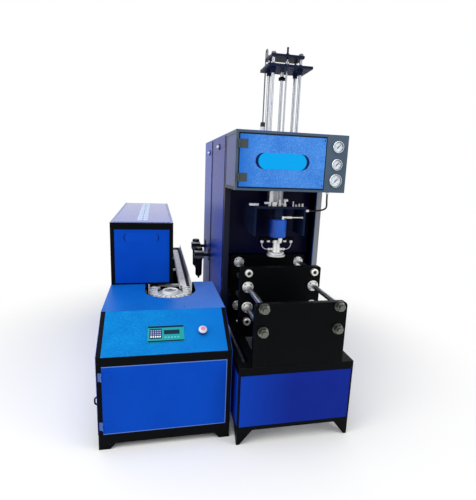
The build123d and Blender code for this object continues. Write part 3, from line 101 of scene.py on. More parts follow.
def layHose(name, points, diameter):
    curve = bpy.data.curves.new(name, "CURVE")
    curve.dimensions = "3D"
    spline = curve.splines.new("NURBS")
    spline.points.add(len(points) - 1)
    for point, place in zip(spline.points, points):
        point.co = (*place, 1)
        point.radius = diameter / 2
    spline.order_u = 3
    spline.use_endpoint_u = True
    spline.resolution_u = 8
    curve.bevel_depth = 1.0  # the points' own radius gives the thickness
    curve.bevel_resolution = 4
    hose = bpy.data.objects.new(name, curve)
    scene.collection.objects.link(hose)
    return hose


bigHose = layHose("headHose", headHose["points"], headHose["diameter"])
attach(bigHose, "machine")
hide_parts("head_hose")
smallHoses = []
for side, sideName in ((-1, "left"), (1, "right")):
    route = [(nozzleHose["middle"] + side * out, nozzleHose["back"], up) for out, up in nozzleHose["bows"]]
    smallHose = layHose(sideName + "NozzleHose", route, nozzleHose["diameter"])
    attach(smallHose, "nozzle")
    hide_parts("nozzle_hoses")
    smallHoses.append(smallHose)
print("hoses laid")


# nodes for the materials

def linear(hexColour):
    channels = [int(hexColour[i:i + 2], 16) / 255 for i in (1, 3, 5)]
    return [c / 12.92 if c <= 0.04045 else ((c + 0.055) / 1.055) ** 2.4 for c in channels] + [1.0]


def addNode(tree, kind, settings=None):
    # a key in small letters is the node's own setting; any other is an input, which takes a value, a hex
    # colour or a link from another node's output. Gives back the new node's outputs
    node = tree.nodes.new("ShaderNode" + kind)
    for key, value in (settings or {}).items():
        if isinstance(key, str) and key[0].islower():
            setattr(node, key, value)
        elif isinstance(value, bpy.types.NodeSocket):
            tree.links.new(value, node.inputs[key])
        else:
            node.inputs[key].default_value = linear(value) if isinstance(value, str) else value
    return node.outputs


def newMaterial(name):
    material = bpy.data.materials.new(name)
    material.use_nodes = True
    material.node_tree.nodes.clear()
    return material, material.node_tree


def squareSum(tree, first, second):
    first, second = [addNode(tree, "Math", {"operation": "POWER", 0: value, 1: 2.0})[0]
                     for value in (first, second)]
    return addNode(tree, "Math", {"operation": "ADD", 0: first, 1: second})[0]


def allBelow(tree, tests):
    # 1 where every value lies below its limit, 0 elsewhere
    inside = 1.0
    for value, limit in tests:
        below = addNode(tree, "Math", {"operation": "LESS_THAN", 0: value, 1: limit})[0]
        inside = addNode(tree, "Math", {"operation": "MULTIPLY", 0: inside, 1: below})[0]
    return inside


def raysMask(tree, place, patch):
    # narrow rays from an upright axis, one beside each fork plate
    fromAxis = addNode(tree, "VectorMath", {"operation": "SUBTRACT", 0: place, 1: at(*patch["centre"], 0)})[0]
    around = addNode(tree, "SeparateXYZ", {0: fromAxis})
    ray = addNode(tree, "Math", {"operation": "ARCTAN2", 0: around[1], 1: around[0]})[0]
    perTurn = patch["count"] / (2 * math.pi)
    for operation, amount in (("MULTIPLY", perTurn), ("FRACT", 0.0), ("SUBTRACT", 0.5), ("ABSOLUTE", 0.0),
                              ("GREATER_THAN", 0.5 - patch["share"])):
        ray = addNode(tree, "Math", {"operation": operation, 0: ray, 1: amount})[0]
    return ray


def zoneMask(tree, place, patch):
    # 1 inside a zone, 0 outside: an upright disc, a stadium facing the front, rays, or a box that may fade
    low, high = [at(*corner) for corner in patch["corners"]]
    half = Vector([abs(side) / 2 for side in high - low])
    fromMiddle = addNode(tree, "VectorMath", {"operation": "SUBTRACT", 0: place, 1: (low + high) / 2})[0]
    off = addNode(tree, "SeparateXYZ", {
        0: addNode(tree, "VectorMath", {"operation": "ABSOLUTE", 0: fromMiddle})[0]})
    form = patch.get("form")
    if form == "disc":
        return allBelow(tree, ((squareSum(tree, off[0], off[1]), half.x ** 2), (off[2], half.z)))
    if form == "stadium":
        past = addNode(tree, "Math", {"operation": "SUBTRACT", 0: off[0], 1: half.x - half.z})[0]
        beyond = addNode(tree, "Math", {"operation": "MAXIMUM", 0: past, 1: 0.0})[0]
        return allBelow(tree, ((squareSum(tree, beyond, off[2]), half.z ** 2), (off[1], half.y)))
    inside = allBelow(tree, zip(off, half))
    if form == "rays":
        ray = raysMask(tree, place, patch)
        return addNode(tree, "Math", {"operation": "MULTIPLY", 0: inside, 1: ray})[0]
    if form == "fade":
        axis = patch.get("axis", 0)
        along = addNode(tree, "SeparateXYZ", {0: place})[axis]
        fade = addNode(tree, "MapRange", {"Value": along, "From Min": high[axis], "From Max": low[axis]})[0]
        return addNode(tree, "Math", {"operation": "MULTIPLY", 0: inside, 1: fade})[0]
    return inside


def zoneColours(tree, place, colour, patches):
    for patch in patches:
        mask = zoneMask(tree, place, patch)
        colour = addNode(tree, "Mix", {"data_type": "RGBA", 0: mask, 6: colour, 7: patch["colour"]})[2]
    return colour


def edgeMask(tree, radiusMm, turn):
    # 1 along an edge, 0 on a flat: the rounded normal leaves the face's own one there
    rounded = addNode(tree, "Bevel", {"samples": 4, "Radius": radiusMm / 1000})[0]
    own = addNode(tree, "NewGeometry")["Normal"]
    same = addNode(tree, "VectorMath", {"operation": "DOT_PRODUCT", 0: rounded, 1: own})["Value"]
    return addNode(tree, "MapRange", {"Value": same, "From Min": 1.0, "From Max": 1.0 - turn})[0]


noiseSpan = {"From Min": 0.3, "From Max": 0.7}  # nearly all values of a noise lie between these


def cloudedTone(tree, place, finish):
    # the finish's own colour, which drifts to its shade in soft clouds
    clouds = addNode(tree, "TexNoise", {"Vector": place, "Scale": 1000 / finish["cloudMm"], "Detail": 3.0})[0]
    share = addNode(tree, "MapRange", {"Value": clouds, **finish["clouds"]})[0]
    return addNode(tree, "Mix", {"data_type": "RGBA", 0: share, 6: finish["shade"], 7: finish["colour"]})[2]


def surface(tree, place, finish, colour, gloss, height, settings):
    # the roughness follows one noise and the relief the other
    shiny, dull = finish["roughness"]
    rough = addNode(tree, "MapRange", {"Value": gloss, **noiseSpan, "To Min": shiny, "To Max": dull})[0]
    for patch in finish["zones"]:
        if "rough" in patch:
            mask = zoneMask(tree, place, patch)
            rough = addNode(tree, "Mix", {"data_type": "FLOAT", 0: mask, 2: rough, 3: patch["rough"]})[0]
    bump = addNode(tree, "Bump", {"Strength": finish["relief"], "Distance": finish["bumpMm"] / 1000,
                                  "Height": height})[0]
    shader = addNode(tree, "BsdfPrincipled", {**settings, "Base Color": colour, "Roughness": rough,
                                              "Normal": bump})[0]
    addNode(tree, "OutputMaterial", {"Surface": shader})


def powderCoat(name, finish):
    # baked paint on steel sheet: even colour, fine orange peel, a few bright grains, rubbed edges
    material, tree = newMaterial(name)
    place = addNode(tree, "TexCoord")["Object"]
    tone = cloudedTone(tree, place, finish)
    cells = addNode(tree, "TexVoronoi", {"Vector": place, "Scale": 1000 / finish["grainMm"]})["Color"]
    cell = addNode(tree, "SeparateColor", {0: cells})[0]
    speck = addNode(tree, "MapRange", {"Value": cell, **finish["specks"], "To Max": finish["grainAmount"]})[0]
    tone = addNode(tree, "Mix", {"data_type": "RGBA", 0: speck, 6: tone, 7: finish["grain"]})[2]
    tone = zoneColours(tree, place, tone, finish["zones"])
    scuff = addNode(tree, "TexNoise", {"Vector": place, "Scale": 1000 / finish["scuffMm"], "Detail": 5.0,
                                       "Roughness": 0.7})[0]
    scuffed = addNode(tree, "MapRange", {"Value": scuff, **finish["scuffs"]})[0]
    worn = edgeMask(tree, finish["edgeMm"], finish["edgeTurn"])
    for amount in (scuffed, finish["wear"]):
        worn = addNode(tree, "Math", {"operation": "MULTIPLY", 0: worn, 1: amount})[0]
    colour = addNode(tree, "Mix", {"data_type": "RGBA", 0: worn, 6: tone, 7: finish["bare"]})[2]
    peel = addNode(tree, "TexNoise", {"Vector": place, "Scale": 1000 / finish["peelMm"], "Detail": 3.0})[0]
    surface(tree, place, finish, colour, scuff, peel, {"IOR": 1.5, "Specular IOR Level": finish["shine"]})
    return material


def machinedMetal(name, finish):
    # bare or plated metal: tool marks across the lay, cloudy gloss, darker oil film
    # on the upright rods the lay's streaks are painted highlights, not tool marks
    finish = {**metalBase, **finish}
    material, tree = newMaterial(name)
    place = addNode(tree, "TexCoord")["Object"]
    lay = addNode(tree, "Mapping", {"Vector": place, "Scale": finish["lay"]})[0]
    marks = addNode(tree, "TexNoise", {"Vector": lay, "Scale": 1.0, "Detail": 4.0, "Roughness": 0.6})[0]
    tone = cloudedTone(tree, place, finish)
    streak = addNode(tree, "MapRange", {"Value": marks, **noiseSpan, "To Max": finish["markAmount"]})[0]
    tone = addNode(tree, "Mix", {"data_type": "RGBA", 0: streak, 6: tone, 7: finish["bright"]})[2]
    tone = zoneColours(tree, place, tone, finish["zones"])
    surface(tree, place, finish, tone, marks, marks, {"Metallic": finish["metallic"]})
    return material


def mouldedPlastic(name, finish):
    # injection moulded plastic or rubber: fine spark grain, faint flow clouds
    finish = {**plasticBase, **finish}
    material, tree = newMaterial(name)
    place = addNode(tree, "TexCoord")["Object"]
    cloud = addNode(tree, "TexNoise", {"Vector": place, "Scale": 1000 / finish["cloudMm"], "Detail": 2.0})[0]
    colour = addNode(tree, "Mix", {"data_type": "RGBA", 0: cloud, 6: finish["shade"], 7: finish["colour"]})[2]
    colour = zoneColours(tree, place, colour, finish["zones"])
    grain = addNode(tree, "TexNoise", {"Vector": place, "Scale": 1000 / finish["grainMm"], "Detail": 2.0})[0]
    surface(tree, place, finish, colour, cloud, grain,
            {"IOR": finish["ior"], "Specular IOR Level": finish["shine"], "Alpha": finish["alpha"]})
    return material


# patches of another colour on a material, in millimetres on the machine

def zone(across, deep, high, colour, **more):
    # between two values along each axis; a fade is full at the first one and gone at the second
    return {"corners": list(zip(across, deep, high)), "colour": colour, **more}


def bossZone(boss, lengthCut, heightCut, colour):
    # over a raised boss on a front face, drawn in by a cut at each end
    halfLength, halfHeight = boss["length"] / 2 - lengthCut, boss["height"] / 2 - heightCut
    return zone((boss["x"] - halfLength, boss["x"] + halfLength), boss["deep"],
                (boss["z"] - halfHeight, boss["z"] + halfHeight), colour, form="stadium")


def roundZone(x, z, radius, deep, colour):
    # a round patch on a front face
    return zone((x - radius, x + radius), deep, (z - radius, z + radius), colour, form="stadium")


def rimHighlightZones(across, deep, high, wide, colour):
    # a painted highlight along the edges of a front face
    return [
        zone((across[0], across[0] + wide), deep, high, colour),
        zone((across[1] - wide, across[1]), deep, high, colour),
        zone(across, deep, (high[0], high[0] + wide), colour),
        zone(across, deep, (high[1] - wide, high[1]), colour),
    ]


# paints; real grains are finer than a pixel, so they are drawn some millimetres wide to show at all
paintBase = {
    "cloudMm": 260, "clouds": {"From Min": 0.3, "From Max": 0.62}, "peelMm": 2.2, "bumpMm": 0.4,
    "relief": 0.25, "grainMm": 3.5, "specks": {"From Min": 0.45, "From Max": 0.95}, "grainAmount": 0.10,
    "scuffMm": 18, "scuffs": {"From Min": 0.48, "From Max": 0.66}, "edgeMm": 2.5, "edgeTurn": 0.25,
    "wear": 0.4, "bare": "#7d848c", "roughness": (0.36, 0.46), "shine": 0.12, "zones": (),
}
sheetBase = {**paintBase, "edgeMm": 0.7, "wear": 0.3}  # thin sheet: a narrower rubbed edge
width, headFront = machine["width"], machine["headFront"]
baseTop, underRoof = machine["baseTop"], machine["underRoof"]
doorHinges, ovenHinges = (1540.0, 1732.0), (150.0, 450.0)  # heights of the hinges
headBoss = {"x": 287.0, "z": 1638.0, "length": 328.0, "height": 93.0, "deep": (headFront - 6, headFront + 6)}
tunnelBoss = {"x": -557.0, "z": 1074.0, "length": 249.0, "height": 62.0, "deep": (885.0, 905.0)}
tunnel = {
    "left": -775, "right": -329, "front": 893, "back": 2431, "rim": (1183.4, 1190), "edge": (25, 24, 21),
}
# painted shade: the cabinet's inside behind the recess, near black navy
recessPaintedShade = zone((-0.5, width + 0.5), (machine["recessFront"], machine["back"]), (700, underRoof), "#06082c")


def tunnelTops(setup):
    # the tops of the tunnel's side and front sheets, pale where they catch the light
    left, right, front = setup["left"], setup["right"], setup["front"]
    leftEdge, rightEdge, frontEdge = setup["edge"]
    deep = (front, setup["back"])
    return [
        zone((left, left + leftEdge), deep, setup["rim"], "#8f9cc4"),
        zone((right - rightEdge, right), deep, setup["rim"], "#8f9cc4"),
        zone((left, right), (front, front + frontEdge), setup["rim"], "#7884ac"),
    ]


# black stoved paint on frames and plates: almost no gloss, grey where corners are rubbed through
blackCoat = powderCoat("blackStovedPaint", {
    **paintBase, "colour": "#050608", "shade": "#030405", "grain": "#15171d",
    "roughness": (0.34, 0.44), "wear": 0.5, "bare": "#5a5e66", "shine": 0.05, "zones": tunnelTops(tunnel)})
# navy black sprayed paint on the head's plates: black that turns blue where light falls
navyBlackCoat = powderCoat("navyBlackPaint", {
    **paintBase, "colour": "#141e38", "shade": "#0f1830", "grain": "#24304e", "shine": 0.06})
# dark grey sprayed paint on cast hinges: a dull sheen, blue on the oven's ones
hingeCoat = powderCoat("darkGreyHingePaint", {
    **paintBase, "colour": "#424a4c", "shade": "#363d40", "grain": "#5c6466", "shine": 0.2,
    "zones": [zone((-768, -690), (60, 100), (z - 27, z + 27), "#4a68a8") for z in ovenHinges]})
# slate sprayed paint on the head's frame: flat grey, painted shade in the door's gap and inside the head
slateCoat = powderCoat("slatePaint", {
    **sheetBase, "colour": "#445668", "shade": "#3c4c5c", "grain": "#5e7084", "shine": 0.16,
    "zones": [
        zone((15, 561), (headFront - 1, headFront + 40), (1477, 1795), "#0a0f24"),
        zone((-1, width + 1), (headFront + 22, 700), (1460, 1788), "#070a20"),
    ]})
# blue powder coat on the oven's sheets: deep, even, matt; painted shade inside, painted highlight on the
# door's rim
doorCoat = powderCoat("bluePowderCoat", {
    **sheetBase, "colour": "#0247ba", "shade": "#0141b0", "grain": "#1a5ccc", "shine": 0.04,
    "zones": [
        zone((-775, -26), (300, 930.5), (30, 724), "#05081c"),
        zone((-775, -184), (930.5, 2431), (30, 724), "#05081c"),
        bossZone(tunnelBoss, 0, 2.5, "#04165c"), bossZone(tunnelBoss, 7, -1, "#0448ba"),
        *rimHighlightZones((-754, -53.5), (70, 81), (96.5, 510.5), 4.5, "#6484cc"),
    ]})
# powder coat with mica flakes on the head's door: a light blue that sparkles, painted shade towards its left
# edge
headDoorCoat = powderCoat("sparkleBluePowderCoat", {
    **sheetBase, "colour": "#4084d8", "shade": "#2c70c8", "grain": "#8fbcf2", "grainAmount": 0.2,
    "grainMm": 6, "cloudMm": 180, "shine": 0.08,
    "zones": [
        zone((18, 150), (headFront - 6, headFront + 20), (1480, 1792), "#2266c0", form="fade"),
        bossZone(headBoss, -4, 0.5, "#0c1c54"), bossZone(headBoss, 14, -1.5, "#009ce4"),
        *(zone((10, 71), (300, headFront - 2.1), (z - 25.5, z + 25.5), "#424a4c") for z in doorHinges),
    ]})
# deep blue powder coat on the base's panels: dark and matt, with painted light towards the left
stationCoat = powderCoat("deepBluePowderCoat", {
    **sheetBase, "colour": "#0b268c", "shade": "#0a2284", "grain": "#203ca6", "shine": 0.05,
    "zones": [zone((-5, 330), (-5, 40), (0, 600), "#073cac", form="fade")]})
# blue sprayed paint on the cabinet's frame: a soft sheen, painted shade inside and on the left front post
frameCoat = powderCoat("cabinetBluePaint", {
    **paintBase, "colour": "#2650ac", "shade": "#1e46a0", "grain": "#3a64be", "shine": 0.2,
    "zones": [
        zone((-1, 660.5), (655, machine["back"]), (baseTop, underRoof), "#060a22"),
        zone((-0.5, 41), (machine["cabinetFront"], 660), (baseTop, underRoof), "#0b1026"),
        # painted highlights on the right front post's edge and front face
        zone((660, 661.5), (machine["cabinetFront"], 690), (baseTop, underRoof), "#1c5cb4"),
        zone((661.5, 701), (machine["cabinetFront"], 644), (baseTop, underRoof), "#848a90"),
    ]})
# gloss blue sprayed paint on the cabinet's sides: smooth, with soft reflections and painted light and shade
sideCoat = powderCoat("glossBlueCabinetPaint", {
    **sheetBase, "colour": "#2444b0", "shade": "#2040a8", "grain": "#3454b8", "grainAmount": 0.04,
    "roughness": (0.26, 0.36), "shine": 0.08, "relief": 0.03,
    "zones": [
        # painted shade on the front side panel, lightened by painted light towards its foot
        zone((-3, 1), (machine["sideFront"], machine["panelSeam"]), (baseTop, 1815), "#142484"),
        zone((-3, 1), (machine["sideFront"], machine["panelSeam"]), (baseTop, 1700), "#1444b4", form="fade",
             axis=2),
        zone((-3, 16), (320, machine["recessFront"]), (1460, underRoof), "#34427c"),
        recessPaintedShade,
    ]})
# gloss blue sprayed paint on the tunnel's lid: wet looking, with clear reflections
lidCoat = powderCoat("glossBlueLidPaint", {
    **sheetBase, "colour": "#1238b6", "shade": "#0e30aa", "grain": "#3058cc",
    "roughness": (0.10, 0.20), "shine": 0.4, "relief": 0.06})
# coarse powder coat on the console: a greener, matt blue with bright grains
consoleCoat = powderCoat("consoleBluePowderCoat", {
    **sheetBase, "colour": "#027ac6", "shade": "#006ebc", "grain": "#2c9ae0", "grainAmount": 0.22,
    "grainMm": 7, "cloudMm": 120, "roughness": (0.46, 0.56), "shine": 0.03,
    "zones": [zone((-20, -480), (70, 360), (550, 724), "#0a70cc", form="fade")]})
# powder coat on the table: even, with a painted reflection that pales it towards its right end
tableCoat = powderCoat("tableBluePowderCoat", {
    **sheetBase, "colour": "#0665c4", "shade": "#045cba", "grain": "#2478d4", "grainMm": 7, "shine": 0.14,
    "zones": [zone((-20, -330), (340, 960), (715, 730), "#4a7cd6", form="fade")]})
# enamel baked on the seal cylinder: smooth and glossy, with painted shade on its left side
cylinderCoat = powderCoat("cylinderBluePaint", {
    **paintBase, "colour": "#1858c4", "shade": "#124cb0", "grain": "#3c78d0",
    "peelMm": 1.2, "roughness": (0.26, 0.36), "shine": 0.3,
    "zones": [zone((285, 330), (480, 620), (1140, 1270), "#06105c", form="fade")]})

# bolts of the bushings' flanges, in millimetres
flangeBolts = {
    "circle": 28.5, "firstTurn": 45, "head": 4.6, "rise": 3.5, "platenFace": 388.0, "rearFace": 688.0,
    "barX": (126.5, 573.5), "barZ": (703.5, 840.5), "rodZ": (608.0, 936.0),
}

# gauge dials behind their glasses: height and radius of each, ticks as length and width; the rings and the
# numbers' size are shares of the radius
dials = {
    "x": 633.0, "face": 317.3, "gauges": ((1739.0, 31.0), (1634.0, 30.0), (1537.0, 36.0)), "steps": 10,
    "ticksPerStep": 4, "numbers": 6, "numberStep": 2, "sweep": 270.0, "thick": 0.25, "gap": 2.4,
    "tickRing": 0.88, "longTick": (5.0, 1.7), "shortTick": (2.6, 1.0), "ink": 0.16, "numberRing": 0.62,
    "numberSize": 0.24,
}

# metals; lay is marks per metre along each axis. Real marks are a tenth of a millimetre apart, so these are
# drawn 0.7 to 3 mm apart to show
metalBase = {
    "clouds": {"From Min": 0.35, "From Max": 0.65}, "markAmount": 0.35, "bumpMm": 0.2, "metallic": 1.0,
    "zones": (),
}
# painted shade: the radius of the dark ring round each pull rod
rodShadeRadius = 12.3  # dark ring round each pull rod
# hard chromed, polished steel on bars and rods: a cool mirror, slightly soft
polishedSteel = machinedMetal("hardChromedSteel", {
    "lay": (300, 300, 300), "cloudMm": 90, "colour": "#d4d7db", "shade": "#b4b9c1",
    "bright": "#eef0f2", "roughness": (0.24, 0.36), "relief": 0.03,
    "zones": [
        zone((100, 600), (-60, 1.0), (600, 900), "#6c6e68"),
        zone((90, 610), (371, 398), (560, 980), "#eceae4", rough=0.5),
        *(roundZone(x, z, rodShadeRadius, (365, 392), "#2c2e32")
          for x in flangeBolts["barX"] for z in flangeBolts["rodZ"]),
    ]})
# ground steel on the upright rods: grey, with long painted highlight streaks down each, drawn about 14 mm
# wide
uprightSteel = machinedMetal("groundSteelRod", {
    "lay": (70, 70, 0.05), "cloudMm": 400, "colour": "#747a86", "shade": "#5a606c",
    "bright": "#ffffff", "roughness": (0.16, 0.26), "relief": 0.02,
    "zones": [zone((325, 375), (610, 660), (2157, 2181), "#101114", rough=0.5)]})
# turned steel on bushings and nozzle: pale and satin, with fine rings
turnedSteel = machinedMetal("turnedSteel", {
    "lay": (40, 1400, 40), "cloudMm": 60, "colour": "#e4e5e4", "shade": "#ced0d0",
    "bright": "#f6f6f5", "roughness": (0.45, 0.6), "relief": 0.12})
# spun and polished steel on the gauges' bezels: bright, with painted shade inside the case round the dial
gaugeSteel = machinedMetal("polishedGaugeBezel", {
    "lay": (40, 1400, 40), "cloudMm": 60, "colour": "#d8dbe4", "shade": "#c4c8d2",
    "bright": "#f6f6f5", "roughness": (0.2, 0.3), "relief": 0.03,
    "zones": [roundZone(dials["x"], height, radius + 0.3, (309.8, 330), "#16181c")
              for height, radius in dials["gauges"]]})
# zinc plated steel on nuts and screws: dull warm grey in small crystal clouds
zincSteel = machinedMetal("zincPlatedSteel", {
    "lay": (500, 500, 500), "cloudMm": 12, "colour": "#73746f", "shade": "#50524f",
    "bright": "#a0a19c", "roughness": (0.25, 0.42), "relief": 0.15})
# oiled steel on the chain: dark, with small glints
chainSteel = machinedMetal("oiledChainSteel", {
    "lay": (500, 500, 500), "cloudMm": 12, "colour": "#3a3e44", "shade": "#26292e",
    "bright": "#787c82", "roughness": (0.35, 0.5), "relief": 0.15})
# rolled aluminium sheet: nearly white, its gloss taken by a dull oxide skin
sheetAluminium = {
    "lay": (700, 30, 700), "cloudMm": 60, "colour": "#ecedee", "shade": "#d4d7d8",
    "bright": "#fafafa", "roughness": (0.5, 0.62), "relief": 0.1, "metallic": 0.3,
}
brightSheet = machinedMetal("dullAluminiumSheet", sheetAluminium)
# the front wheel's axis, and the radius, heights and colour of its hub, cap and dark middle
frontWheel = {
    "x": -355.0, "y": 740.0, "rays": 20, "rayShare": 0.08,
    "rings": ((88, (600, 704.5), "#b4bab8"), (42, (704.5, 727), "#9a9ea0"), (11, (722, 740), "#1c1e22")),
}
# the same sheet cut to forks: painted shade under the tunnel, a thin painted shadow beside each fork
forkSteel = machinedMetal("dullAluminiumFork", {
    **sheetAluminium,
    "zones": [
        zone((-520, -190), (872, 2300), (700, 716), "#1c1e22"),
        zone((-515, -195), (580, 872), (700, 716), "#46484c", form="rays", count=frontWheel["rays"],
             centre=(frontWheel["x"], frontWheel["y"]), share=frontWheel["rayShare"]),
    ]})
# the same metal turned to a wheel: painted shade below the table, with a pale hub
wheelSteel = machinedMetal("dullAluminiumWheel", {
    **sheetAluminium,
    "zones": [
        zone((-480, -230), (600, 880), (600, 704.5), "#1c1e22"),
        *(zone((frontWheel["x"] - radius, frontWheel["x"] + radius),
               (frontWheel["y"] - radius, frontWheel["y"] + radius), high, colour, form="disc")
          for radius, high, colour in frontWheel["rings"]),
    ]})
# drawn, anodised aluminium on the cylinders' tubes: pale grey with a silky, lengthwise grain
profileAluminium = machinedMetal("anodisedAluminium", {
    "lay": (800, 800, 10), "cloudMm": 80, "colour": "#c8cbcd", "shade": "#b4b8bb",
    "bright": "#dcdee0", "roughness": (0.34, 0.5), "relief": 0.08})
# braid woven of steel wire: a silvery glitter, its wires 0.7 mm wide, coarser than real ones
braidedWire = machinedMetal("wovenWireBraid", {
    "lay": (1400, 1400, 1400), "cloudMm": 3, "colour": "#c4c8cc", "shade": "#8f949a",
    "bright": "#eef0f2", "roughness": (0.25, 0.4), "relief": 0.5})

# plastics, rubber and glass; the mould's spark grain is drawn coarser than its real tenth of a millimetre
plasticBase = {
    "cloudMm": 30, "grainMm": 0.9, "bumpMm": 0.2, "relief": 0.12, "roughness": (0.36, 0.48),
    "ior": 1.5, "shine": 0.5, "alpha": 1.0, "zones": (),
}
# the air filters' bands, pale above and grey below, by how far they lie under the top
filters = {
    "places": ((1350.0, 900.0), (1620.0, 925.0)), "reach": 40,
    "bands": (((-126, -52), (26.5, 15.5), "#c9cdd0"), ((-130, -48), (83, 58), "#5c6066")),
}
filterZones = [
    zone(across, (y - filters["reach"], y + filters["reach"]), (top - below, top - above), colour)
    for y, top in filters["places"] for across, (below, above), colour in filters["bands"]]
# moulded black nylon: matt, with a faint grain
blackPlastic = mouldedPlastic("blackNylon", {
    "colour": "#0c0c0e", "shade": "#08080a", "relief": 0.2, "ior": 1.53, "shine": 0.3,
    "zones": filterZones})
# machined white acetal: smooth and waxy
whitePlastic = mouldedPlastic("whiteAcetal", {
    "colour": "#f2f1ee", "shade": "#e6e4de", "roughness": (0.26, 0.38), "ior": 1.48})
# moulded nylon cap of the stop button: pale and softly shining
buttonPlastic = mouldedPlastic("lavenderButtonCap", {
    "colour": "#dcd6ee", "shade": "#cfc8e4", "roughness": (0.24, 0.36)})
# extruded black rubber: dull, with the cloth's print in its skin
hoseRubber = mouldedPlastic("blackRubberHose", {
    "colour": "#101012", "shade": "#0a0a0c", "roughness": (0.49, 0.61), "relief": 0.35, "ior": 1.52,
    "shine": 0.3})
# extruded polyurethane tube: grey and smooth, white at its lower fitting
airLine = mouldedPlastic("greyPolyurethaneLine", {
    "colour": "#6c7076", "shade": "#585c62", "roughness": (0.29, 0.41), "relief": 0.05,
    "zones": [zone((225, 285), (660, 740), (1809, 1871), "#e4e4e0")]})
# pressed clear glass over the dials: hardly seen but for its glints
lensGlass = mouldedPlastic("gaugeGlass", {
    "colour": "#ffffff", "shade": "#f4f8fa", "roughness": (0.02, 0.14), "relief": 0.02, "alpha": 0.04})
# drawn quartz tube of the heating lamps: milky and half clear
quartzGlass = mouldedPlastic("quartzTube", {
    "colour": "#f4f2ea", "shade": "#e6e4da", "roughness": (0.06, 0.18), "relief": 0.03, "ior": 1.46,
    "alpha": 0.55})
# printed polyester film on the operator panel: flat teal
tealFilm = mouldedPlastic("tealMembraneFilm", {
    "colour": "#049aa4", "shade": "#028c90", "shine": 0.15})
# the same film printed navy: darker and flatter
navyFilm = mouldedPlastic("printedFilmStrips", {
    "colour": "#022450", "shade": "#011c44", "shine": 0.06})
# embossed film over the keys: pale lavender, with white and turquoise ones
keyPlastic = mouldedPlastic("paleKeyCaps", {
    "colour": "#8f9cc8", "shade": "#7c8abc",
    "zones": [
        zone((-500, -420), (100, 184), (600, 630), "#f4f8fa"),
        zone((-415, -300), (100, 260), (600, 640), "#58bcc0"),
    ]})
# tinted acrylic window: dark and smooth
displayGlass = mouldedPlastic("darkDisplayWindow", {
    "colour": "#022c40", "shade": "#022438", "roughness": (0.14, 0.26), "relief": 0.02, "shine": 0.06})
# moulded red button top, lightened to pale pink by painted light
redPlastic = mouldedPlastic("pinkRedButtonTop", {
    "colour": "#d47e96", "shade": "#cc7088", "roughness": (0.24, 0.36)})
# enamel on the dials: clean white with a cool cast
dialEnamel = mouldedPlastic("whiteDialEnamel", {
    "colour": "#e0eaf4", "shade": "#d6e2ee", "roughness": (0.29, 0.41), "relief": 0.02})
# printed ink, and blacked steel on small parts: an even soft black
inkBlack = mouldedPlastic("dialInk", {"colour": "#15171a", "shade": "#101215", "relief": 0.02})
# baked enamel on the louvres: pale, chalky blue
ventEnamel = mouldedPlastic("paleBlueVentEnamel", {"colour": "#c4d8f4", "shade": "#b8ccec"})
print("materials made")

finishes = {
    blackCoat: ("base_frame", "corner_feet", "front_plate", "rear_platen", "front_platen", "crosshead",
                "nozzle_carrier", "oven_frame", "lifting_loop", "wheel_bearings", "drive_motor"),
    navyBlackCoat: ("crown_plate", "carriage_plate", "head_bracket"),
    hingeCoat: ("door_hinges",),
    slateCoat: ("head_frame",),
    doorCoat: ("oven_door", "tunnel_panels", "oven_panels"),
    headDoorCoat: ("head_door",),
    lidCoat: ("tunnel_lid",),
    stationCoat: ("base_panels",),
    frameCoat: ("cabinet_frame",),
    sideCoat: ("cabinet_panels",),
    consoleCoat: ("console_panel",),
    tableCoat: ("top_plate",),
    cylinderCoat: ("seal_cylinder",),
    polishedSteel: ("tie_bars", "pull_rods", "clamp_piston_rod"),
    uprightSteel: ("guide_rods", "stretch_rod", "stretch_piston_rod"),
    turnedSteel: ("rod_bushings", "platen_bushings", "nozzle_spindle", "nozzle_fittings"),
    gaugeSteel: ("gauge_cases",),
    zincSteel: ("hex_nuts",),
    chainSteel: ("preform_chain",),
    brightSheet: ("rear_wheel", "chain_rails", "lamp_tray"),
    forkSteel: ("fork_plates",),
    wheelSteel: ("front_wheel",),
    profileAluminium: ("stretch_cylinder", "clamp_cylinder"),
    blackPlastic: ("gauge_pointer_top", "gauge_pointer_middle", "gauge_pointer_bottom", "air_filters",
                   "button_collar"),
    whitePlastic: ("bracket_fittings",),
    buttonPlastic: ("stop_button",),
    airLine: ("tower_air_line",),
    lensGlass: ("gauge_lenses",),
    quartzGlass: ("oven_lamps",),
    tealFilm: ("operator_panel",),
}
for material, names in finishes.items():
    for name in names:
        nodes[name].data.materials.clear()
        nodes[name].data.materials.append(material)
bigHose.data.materials.append(hoseRubber)
for smallHose in smallHoses:
    smallHose.data.materials.append(braidedWire)
print("nodes finished")


# pieces of the scene's own

sharpFrom = 0.6  # radians; edges that turn more than this stay crisp


def newPiece(name, shape, material):
    mesh = bpy.data.meshes.new(name)
    shape.to_mesh(mesh)
    shape.free()
    mesh.materials.append(material)
    piece = bpy.data.objects.new(name, mesh)
    scene.collection.objects.link(piece)
    return piece


def finishPiece(name, shape, material=inkBlack, body="machine"):
    for face in shape.faces:
        face.smooth = True
    for edge in shape.edges:
        edge.smooth = edge.calc_face_angle(0.0) < sharpFrom
    piece = newPiece(name, shape, material)
    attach(piece, body)


def facing(place, outward):
    # a frame at a place of the scene, its Z pointing outward
    return Matrix.Translation(place) @ Vector(outward).to_track_quat("Z", "Y").to_matrix().to_4x4()


def breakEdges(shape, edges, broken):
    # a narrow flat along each edge; returns the new faces
    return bmesh.ops.bevel(shape, geom=list(edges), offset=broken / 1000, offset_type="OFFSET", segments=1,
                           profile=0.5, affect="EDGES", material=-1)["faces"]


def addBlock(shape, where, centre, size, broken=0.0):
    # block in a frame's own millimetres, all its edges broken
    matrix = where @ Matrix.Translation(Vector(centre) / 1000) @ Matrix.Diagonal((*(Vector(size) / 1000), 1))
    made = bmesh.ops.create_cube(shape, size=1, matrix=matrix)
    if broken:
        breakEdges(shape, {edge for vert in made["verts"] for edge in vert.link_edges}, broken)


